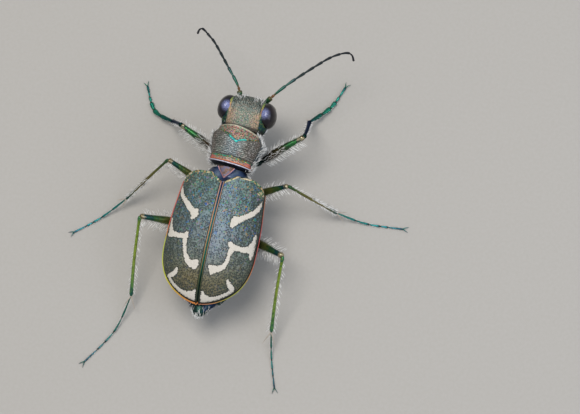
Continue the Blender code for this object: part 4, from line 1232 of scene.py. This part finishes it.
def limb_finish(name, stops, joints=()):
    """Smooth cuticle with a metal shine, whose colour shifts along the limb, dark at its joints."""
    finish, shader, add = new_finish(name, 0.28, 0.65)
    place = place_on(add, STAND)
    along = add("Attribute", {}, "Fac", attribute_name="along")
    specks = add("TexNoise", {"Vector": place, "Scale": 5.0, "Detail": 3.0})
    pricks = add("TexVoronoi", {0: place, "Scale": 7.0})
    shift = add("MapRange", {0: specks, 1: 0.3, 2: 0.7, 3: -0.09, 4: 0.09})
    shifted = add("Math", {0: along, 1: shift}, operation="ADD")
    layers = [("#0c1a14", (specks, 0.50, 0.62, 0.35)), ("#06080a", (pricks, 0.20, 0.08, 0.8))]
    for start in joints:
        gap = add("Math", {0: along, 1: start}, operation="SUBTRACT")
        gap = add("Math", {0: gap}, operation="ABSOLUTE")
        layers.append(("#04100e", add("MapRange", {0: gap, 1: 0.030, 2: 0.012, 4: 0.85})))
    colour = paint(add, add("ValToRGB", {0: shifted}, stops=stops), layers)
    dress(shader, add, colour, pricks, 0.35, 0.012)
    return finish


# Metallic cuticle. The eye sees dark bronze front thighs and green ones behind them, dark front
# shins, gold-green ones behind them, and teal feet. Each knee has a painted highlight, a pale
# spot, and the front thighs' green is painted brighter before it as a highlight.
leg_finishes = {
    "front_thigh": limb_finish("dark bronze thigh cuticle", (
        (0.0, "#0e1c20"), (0.15, "#14302c"), (0.32, "#40301e"), (0.55, "#38381e"),
        # Painted highlights: the bright green band before the knee, and the pale spot at the knee.
        (0.68, "#245834"), (0.80, "#38803c"), (0.88, "#144038"), (0.95, "#c0b490"),
        (1.0, "#5a4c34"))),
    "thigh": limb_finish("green thigh cuticle", (
        (0.0, "#0e2430"), (0.15, "#12382c"), (0.38, "#3c4c28"), (0.58, "#5c602c"),
        # Painted highlight: the pale spot at the knee.
        (0.76, "#305a30"), (0.85, "#144c40"), (0.90, "#103a4c"), (0.95, "#c0b490"),
        (1.0, "#7a6c4c"))),
    "front_shin": limb_finish("green shin cuticle", (
        (0.0, "#103028"), (0.3, "#14343c"), (0.7, "#122c40"), (1.0, "#0c3438"))),
    "middle_shin": limb_finish("gold-olive shin cuticle", (
        (0.0, "#2c5a3a"), (0.3, "#6a6a34"), (0.7, "#7a6c44"), (1.0, "#2c5c54"))),
    "hind_shin": limb_finish("yellow-green shin cuticle", (
        (0.0, "#2c6a4c"), (0.12, "#88a43c"), (0.5, "#98ac44"), (0.85, "#5c8c48"),
        (1.0, "#246058"))),
    "front_foot": limb_finish("green foot cuticle", (
        (0.0, "#0e3c40"), (0.26, "#146050"), (0.48, "#1c8468"), (0.8, "#188074"),
        (1.0, "#0e4a50")), FOOT_JOINTS[1:5]),
    "middle_foot": limb_finish("teal foot cuticle", (
        (0.0, "#1c6c60"), (0.4, "#1c8480"), (0.8, "#1c7c88"), (1.0, "#104a60")), FOOT_JOINTS[1:5]),
    "hind_foot": limb_finish("blue-green foot cuticle", (
        (0.0, "#246858"), (0.4, "#1c6c60"), (0.8, "#1c5c68"), (1.0, "#103c50")), FOOT_JOINTS[1:5]),
}
# The steep front shins stay dark at their edges, where they would mirror the pale floor.
feed(leg_finishes["front_shin"].node_tree.nodes["Principled BSDF"], {
    "Metallic": 0.9, "Specular Tint": "#98a0b8"})
# Spurs of horn-coloured cuticle, smooth and slightly clear.
spur_finish, shader, add = new_finish("pale horn", 0.35, 0.0)
specks = add("TexNoise", {"Vector": place_on(add, STAND), "Scale": 6.0, "Detail": 2.0})
feed(shader, {"Base Color": paint(add, "#8a7c6c", (("#c8c0b4", specks),))})


def spine(start, way, length, half, bend):
    """A tapered, slightly bent spine."""
    end = start + way * length
    middle = start.lerp(end, 0.5) + bend * length
    return limb(
        (start, middle, end), ((0.0, half), (0.5, 0.7 * half), (0.9, 0.3 * half), (1.0, 0.004)),
        rings=10, around=8)


def thickened(profile, half):
    """A profile of shares of a half thickness, in millimetres."""
    return [(share, half * size) for share, size in profile]


for leg, places in LEGS.items():
    pair, name = leg.split("_")
    root, hip, knee, ankle, middle, tip = [Vector(place) for place in places]
    shin_way = (ankle - knee).normalized()
    foot_way = (tip - middle).normalized()
    cross = shin_way.cross(Vector((0.0, 0.0, 1.0))).normalized()
    hip_cone = limb((root, root.lerp(hip, 0.5), hip), HIP_PROFILE, rings=40, around=28)
    thigh = limb(
        (hip, hip.lerp(knee, 0.5) + THIGH_BOW, knee), thickened(THIGH_PROFILE, THIGH_HALF[pair]),
        rings=90, around=26)
    shin = limb(
        (knee, knee.lerp(ankle, 0.5) + cross * SHIN_BOW[pair], ankle),
        thickened(SHIN_PROFILE, SHIN_HALF[pair]), rings=90, around=18)
    foot = limb(
        (ankle, middle, tip), jointed(FOOT_JOINTS, FOOT_HALF[pair], FOOT_PINCH), rings=160,
        around=16, depth=FOOT_DEPTH)
    spurs, claws = [], []
    for turn in (-1, 1):
        way = shin_way + SPUR_SPREAD * turn * cross + SPUR_RISE
        spurs.append(spine(ankle, way.normalized(), SPUR_LENGTH[pair], SPUR_HALF, SPUR_BEND))
        way = Matrix.Rotation(CLAW_SPREAD * turn, 3, "Z") @ foot_way
        way.z = -CLAW_DROP
        claws.append(spine(
            tip - 0.04 * foot_way, way.normalized(), CLAW_LENGTH, CLAW_HALF, CLAW_BEND))

    thigh_finish = leg_finishes["front_thigh" if pair == "front" else "thigh"]
    hip_piece = set_in_place(leg + "_hip", hip_cone, STAND, under_finish)
    thigh_piece = set_in_place(leg + "_thigh", thigh, STAND, thigh_finish)
    spur_piece = set_in_place(leg + "_spurs", join(spurs[0], spurs[1:]), STAND, spur_finish)
    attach(spur_piece, "root")
    shin_piece = set_in_place(leg + "_shin", shin, STAND, leg_finishes[pair + "_shin"])
    foot_piece = set_in_place(
        leg + "_foot", join(foot, claws), STAND, leg_finishes[pair + "_foot"])
    for piece, node, slot in (
        (hip_piece, "coxa", "underside"), (thigh_piece, "femur", "leg"),
        (shin_piece, "tibia", "leg"), (foot_piece, "tarsus", "foot"),
    ):
        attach(piece, "root")
        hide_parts("_".join((pair, node, name)))

# Hairs
# White bristles: fringes on the thighs, spines on the shins, and lying hairs on the brow, the
# sides of the body and the belly. Each is one tapered, bent mesh hair, rooted in the cuticle.
HAIR_STEPS = (0.0, 0.35, 0.7)  # shares of the way where a hair has a ring of corners
HAIR_CORNERS = 3
HAIR_HALF = 0.024  # really about 0.01 mm
HAIR_TILT = 0.14  # spread of the hairs round their row, in radians
HAIR_LEAN = 0.08  # and of their slant
HAIR_BEND = 0.14  # toward the limb's tip, as a share of the length
HAIR_ROOT = 0.85  # where a hair starts, as a share of the limb's half thickness
PATCH = 0.003  # size of each hair's patch on its unwrap
PATCH_STEP = 0.15  # from one leg's patches to the next
draw = random.Random(31)


def wander(way, amount):
    """A unit way near another."""
    return (way + Vector([draw.gauss(0.0, amount) for _ in range(3)])).normalized()


def fringe(points, profile, reach, hairs, angles, patch):
    """Rows of hairs along a limb, at angles round it. Reach is their start and end along it."""
    spacing, length, half, slant = hairs
    start, end = reach
    spots = course(points, WAY_STEPS + 1)
    turns = headings(spots)
    shares, sizes = zip(*profile)
    span = sum((after - before).length for before, after in zip(spots, spots[1:]))
    count = int((end - start) * span / spacing)
    rows = []
    for angle, step in itertools.product(angles, range(count)):
        share = start + (end - start) * (step + draw.uniform(0.1, 0.9)) / count
        index = int(share * WAY_STEPS)
        tilt = angle + draw.gauss(0.0, HAIR_TILT)
        lean = slant + draw.gauss(0.0, HAIR_LEAN)
        radial = turns[index] @ Vector((math.cos(tilt), 0.0, math.sin(tilt)))
        ahead = turns[index] @ Vector((0.0, 1.0, 0.0))
        spot = spots[index].lerp(spots[index + 1], share * WAY_STEPS - index)
        rows.append((
            spot + radial * HAIR_ROOT * np.interp(share, shares, sizes),
            radial * math.cos(lean) + ahead * math.sin(lean),
            length * draw.uniform(0.75, 1.12), half, ahead * HAIR_BEND,
            (patch[0] + 0.1 * (tilt / math.tau % 1.0), patch[1] + 0.3 * share),
        ))
    return rows


def coat(skin, count, length, lie, rise, half=HAIR_HALF):
    """Hairs rooted at random places of a skin, along a lie and raised off it."""
    rows = []
    for _ in range(count):
        place, normal, patch = draw.choice(skin)
        way = wander((lie - normal * lie.dot(normal)).normalized() + rise * normal, 0.16)
        spot = place + Vector([draw.uniform(-0.02, 0.02) for _ in range(3)])
        rows.append((
            spot - 0.02 * normal, way, length * draw.uniform(0.7, 1.15), half,
            0.12 * normal - 0.25 * rise * normal, patch))
    return rows


def set_hairs(name, carrier, rows, slot):
    """Joins hairs, each a row of root, way, length, half thickness, bend and patch."""
    roots, ways, bends = (np.array([row[column][:] for row in rows]) for column in (0, 1, 4))
    lengths, halves = (np.array([row[column] for row in rows])[:, None] for column in (2, 3))
    patches = np.array([row[5] for row in rows])
    side = np.cross(ways, (0.13, 0.21, 0.97))
    side /= np.linalg.norm(side, axis=1, keepdims=True)
    other = np.cross(ways, side)
    rings, marks = [], []
    for step in HAIR_STEPS:
        middle = roots + lengths * (ways * step + bends * step ** 2.0)
        for corner in range(HAIR_CORNERS):
            angle = corner * math.tau / HAIR_CORNERS
            size = halves * (1.0 - step) ** 0.6
            rings.append(middle + size * (math.cos(angle) * side + math.sin(angle) * other))
            marks.append((0.4 * math.cos(angle), step - 0.5))
    rings.append(roots + lengths * (ways + bends))
    marks.append((0.0, 0.5))
    tip = len(rings) - 1
    shape = [tuple(range(HAIR_CORNERS))[::-1]]
    for corner in range(HAIR_CORNERS):
        after = (corner + 1) % HAIR_CORNERS
        for ring in range(len(HAIR_STEPS) - 1):
            low, high = ring * HAIR_CORNERS, (ring + 1) * HAIR_CORNERS
            shape.append((low + corner, low + after, high + after, high + corner))
        shape.append((high + corner, high + after, tip))
    faces = [
        [corner + hair * len(rings) for corner in face] for hair in range(len(rows))
        for face in shape]
    mesh = bpy.data.meshes.new(name)
    mesh.from_pydata(np.stack(rings, axis=1).reshape(-1, 3).tolist(), [], faces)
    mesh.transform(carrier)
    corners = np.empty(len(mesh.loops), dtype=int)
    mesh.loops.foreach_get("vertex_index", corners)
    flat = patches[corners // len(rings)] + PATCH * np.array(marks)[corners % len(rings)]
    mesh.uv_layers.new(name="OFBake").data.foreach_set("uv", flat.ravel())
    mesh.materials.append(hair_finish)
    mesh.shade_smooth()
    piece = bpy.data.objects.new(name, mesh)
    bpy.context.scene.collection.objects.link(piece)
    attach(piece, "root")
    return piece


# Clear, hollow bristle that looks white, with a silky gloss.
hair_finish, shader, add = new_finish("white bristle", 0.38, 0.0)
specks = add("TexNoise", {"Vector": place_on(add, STAND), "Scale": 4.0, "Detail": 2.0})
feed(shader, {"Base Color": add("ValToRGB", {0: specks}, stops=(
    (0.36, "#a4a4a2"), (0.46, "#e0e0dc"), (0.56, "#fafaf8")))})

# Spacing, length, half thickness and slant of the hairs.
SHIN_SPINES = {
    "front": (0.22, 0.28, 0.018, 0.65), "middle": (0.13, 0.34, 0.018, 0.75),
    "hind": (0.24, 0.40, 0.026, 0.85),
}
SHIN_BRUSH = (0.045, 0.24, 0.014, 1.05)  # on the lower half of the middle shins
FOOT_HAIRS = (0.12, 0.13, 0.012, 0.9)
UP = math.pi / 2.0  # angles round a limb start at its right side
DOWN = -UP
for number, (leg, places) in enumerate(LEGS.items()):
    pair, name = leg.split("_")
    root, hip, knee, ankle, middle, tip = [Vector(place) for place in places]
    thigh = (hip, hip.lerp(knee, 0.5) + THIGH_BOW, knee), thickened(THIGH_PROFILE, THIGH_HALF[pair])
    shin = (knee, knee.lerp(ankle, 0.5), ankle), thickened(SHIN_PROFILE, SHIN_HALF[pair])
    foot = (ankle, middle, tip), jointed(FOOT_JOINTS, FOOT_HALF[pair], FOOT_PINCH)
    # The sides of a thigh: the front, and the back a little below its middle.
    front, back = (0.0, math.pi + 0.35) if name == "left" else (math.pi, -0.35)
    long, short = (0.75, 0.55) if pair == "hind" else (0.60, 0.42)
    spacing = 0.10 if pair == "front" else 0.13
    # Each fringe: limb, reach, hairs, angles and patch, in the order of the random draws.
    fringes = [
        (thigh, (0.14, 0.92), (spacing, short, HAIR_HALF, 0.45), (front,), 0.0),
        (thigh, (0.14, 0.92), (spacing, long, HAIR_HALF, 0.45), (back, back + 0.3), 0.0),
        (thigh, (0.14, 0.92), (spacing, 0.5, HAIR_HALF, 0.45), (DOWN,), 0.0),
        (shin, (0.06, 0.97), SHIN_SPINES[pair], (0.0, math.pi, DOWN), 0.33),
        (foot, (0.03, 0.95), FOOT_HAIRS, (0.2, math.pi - 0.2), 0.66),
    ]
    if pair == "front":
        fringes.insert(3, (
            thigh, (0.14, 0.6), (spacing, 0.3, HAIR_HALF, 1.05),
            (UP - 1.0, UP - 0.4, UP + 0.5, UP + 1.0), 0.0))
    if pair == "middle":
        fringes.insert(4, (
            shin, (0.48, 0.97), SHIN_BRUSH,
            (-0.5, 0.2, UP, math.pi - 0.2, math.pi + 0.5, DOWN), 0.33))
    rows = []
    for (points, profile), reach, hairs, angles, patch in fringes:
        rows += fringe(points, profile, reach, hairs, angles, (PATCH_STEP * number, patch))
    set_hairs("hairs_" + leg, STAND, rows, "leg")

BACKWARD = Vector((0.0, -1.0, 0.0))
# Each coat: skin, where on it hairs grow, and their number, length, lie, rise and half thickness.
for part, carrier, slot, coats in (
    ("thorax", TRUNK, "underside", (
        (thorax_skin, lambda p: -1.25 < p.z < -0.05, 900, 0.42, BACKWARD, 0.30),
    )),
    ("abdomen", TRUNK, "underside", (
        (abdomen_skin, lambda p: abs(p.x) > 1.2 and p.z < -0.2, 700, 0.36, BACKWARD, 0.22),
        (abdomen_skin, lambda p: p.y < -3.9, 140, 0.28, BACKWARD, 0.26),
    )),
    ("pronotum", NECK, "pronotum", (
        (barrel_skin, lambda p: -0.5 < p.z < 0.35 and abs(p.x) > 1.0, 420, 0.42,
         Vector((0.0, 0.6, 0.5)), 0.9),
    )),
    ("head", HEAD, "head", (
        (capsule_skin, lambda p: p.y > 0.42 and p.z > -0.75 and 0.25 < abs(p.x) < 0.95, 130, 0.32,
         Vector((0.0, 1.0, -0.1)), 0.6, 0.016),
        (capsule_skin, lambda p: p.z < -0.2 and abs(p.x) > 0.6 and p.y < 0.6, 300, 0.32,
         Vector((0.0, 0.8, -0.6)), 0.5, 0.018),
    )),
):
    rows = []
    for skin, grows_at, *hairs in coats:
        rows += coat([spot for spot in skin if grows_at(spot[0])], *hairs)
    set_hairs("hairs_" + part, carrier, rows, slot)

# Floor, light and camera
# A plain pale floor under soft light from above, and the photograph's view: from behind on
# the beetle's right, 70 degrees above the horizon, through a long lens.
FLOOR_SIZE = 0.6
CAMERA_AIM = Vector((3.72, 0.64, 3.7)) * MM
CAMERA_AZIMUTH = math.radians(35.0)
CAMERA_ELEVATION = math.radians(70.0)
CAMERA_ROLL = math.radians(-22.75)
CAMERA_DISTANCE = 132.18 * MM

bm = bmesh.new()
bmesh.ops.create_grid(bm, x_segments=1, y_segments=1, size=FLOOR_SIZE / 2.0)
finish, shader, add = new_finish("pale matt board", 0.85, 0.0)
own = add("TexCoord", {}, "Object")
fibres = add("TexNoise", {"Vector": own, "Scale": 5000.0, "Detail": 2.0})
colour = add("ValToRGB", {0: fibres}, stops=((0.3, "#b0ada7"), (0.7, "#b3b0ab")))
feed(shader, {"Base Color": colour})
floor = set_in_place("floor", bm, Matrix.Identity(4), finish)

world = bpy.data.worlds.new("soft sky")
world.use_nodes = True
feed(world.node_tree.nodes["Background"], {"Color": "#dfe4ea", "Strength": 0.50})
bpy.context.scene.world = world
bpy.context.scene.view_settings.view_transform = "Standard"

for name, place, size, power, colour in (
    ("key softbox", (-0.02, 0.01, 0.175), 0.09, 0.20, "#fffaf4"),
    ("fill softbox", (0.12, -0.02, 0.11), 0.12, 0.08, "#e6eeff"),
):
    lamp = bpy.data.lights.new(name, "AREA")
    lamp.energy = power
    lamp.size = size
    lamp.color = linear(colour)[:3]
    holder = bpy.data.objects.new(name, lamp)
    holder.location = place
    holder.rotation_euler = Vector(place).to_track_quat("Z", "Y").to_euler()
    bpy.context.scene.collection.objects.link(holder)

lens = bpy.data.cameras.new("camera")
lens.lens = 135.0
lens.sensor_width = 36.0
lens.clip_start = 0.01
camera = bpy.data.objects.new("camera", lens)
back = Vector((
    math.sin(CAMERA_AZIMUTH) * math.cos(CAMERA_ELEVATION),
    -math.cos(CAMERA_AZIMUTH) * math.cos(CAMERA_ELEVATION),
    math.sin(CAMERA_ELEVATION),
))
level = back.to_track_quat("Z", "Y").to_matrix().to_4x4()
camera.matrix_world = (
    Matrix.Translation(CAMERA_AIM + back * CAMERA_DISTANCE)
    @ level
    @ Matrix.Rotation(CAMERA_ROLL, 4, "Z")
)
bpy.context.scene.collection.objects.link(camera)
bpy.context.scene.camera = camera
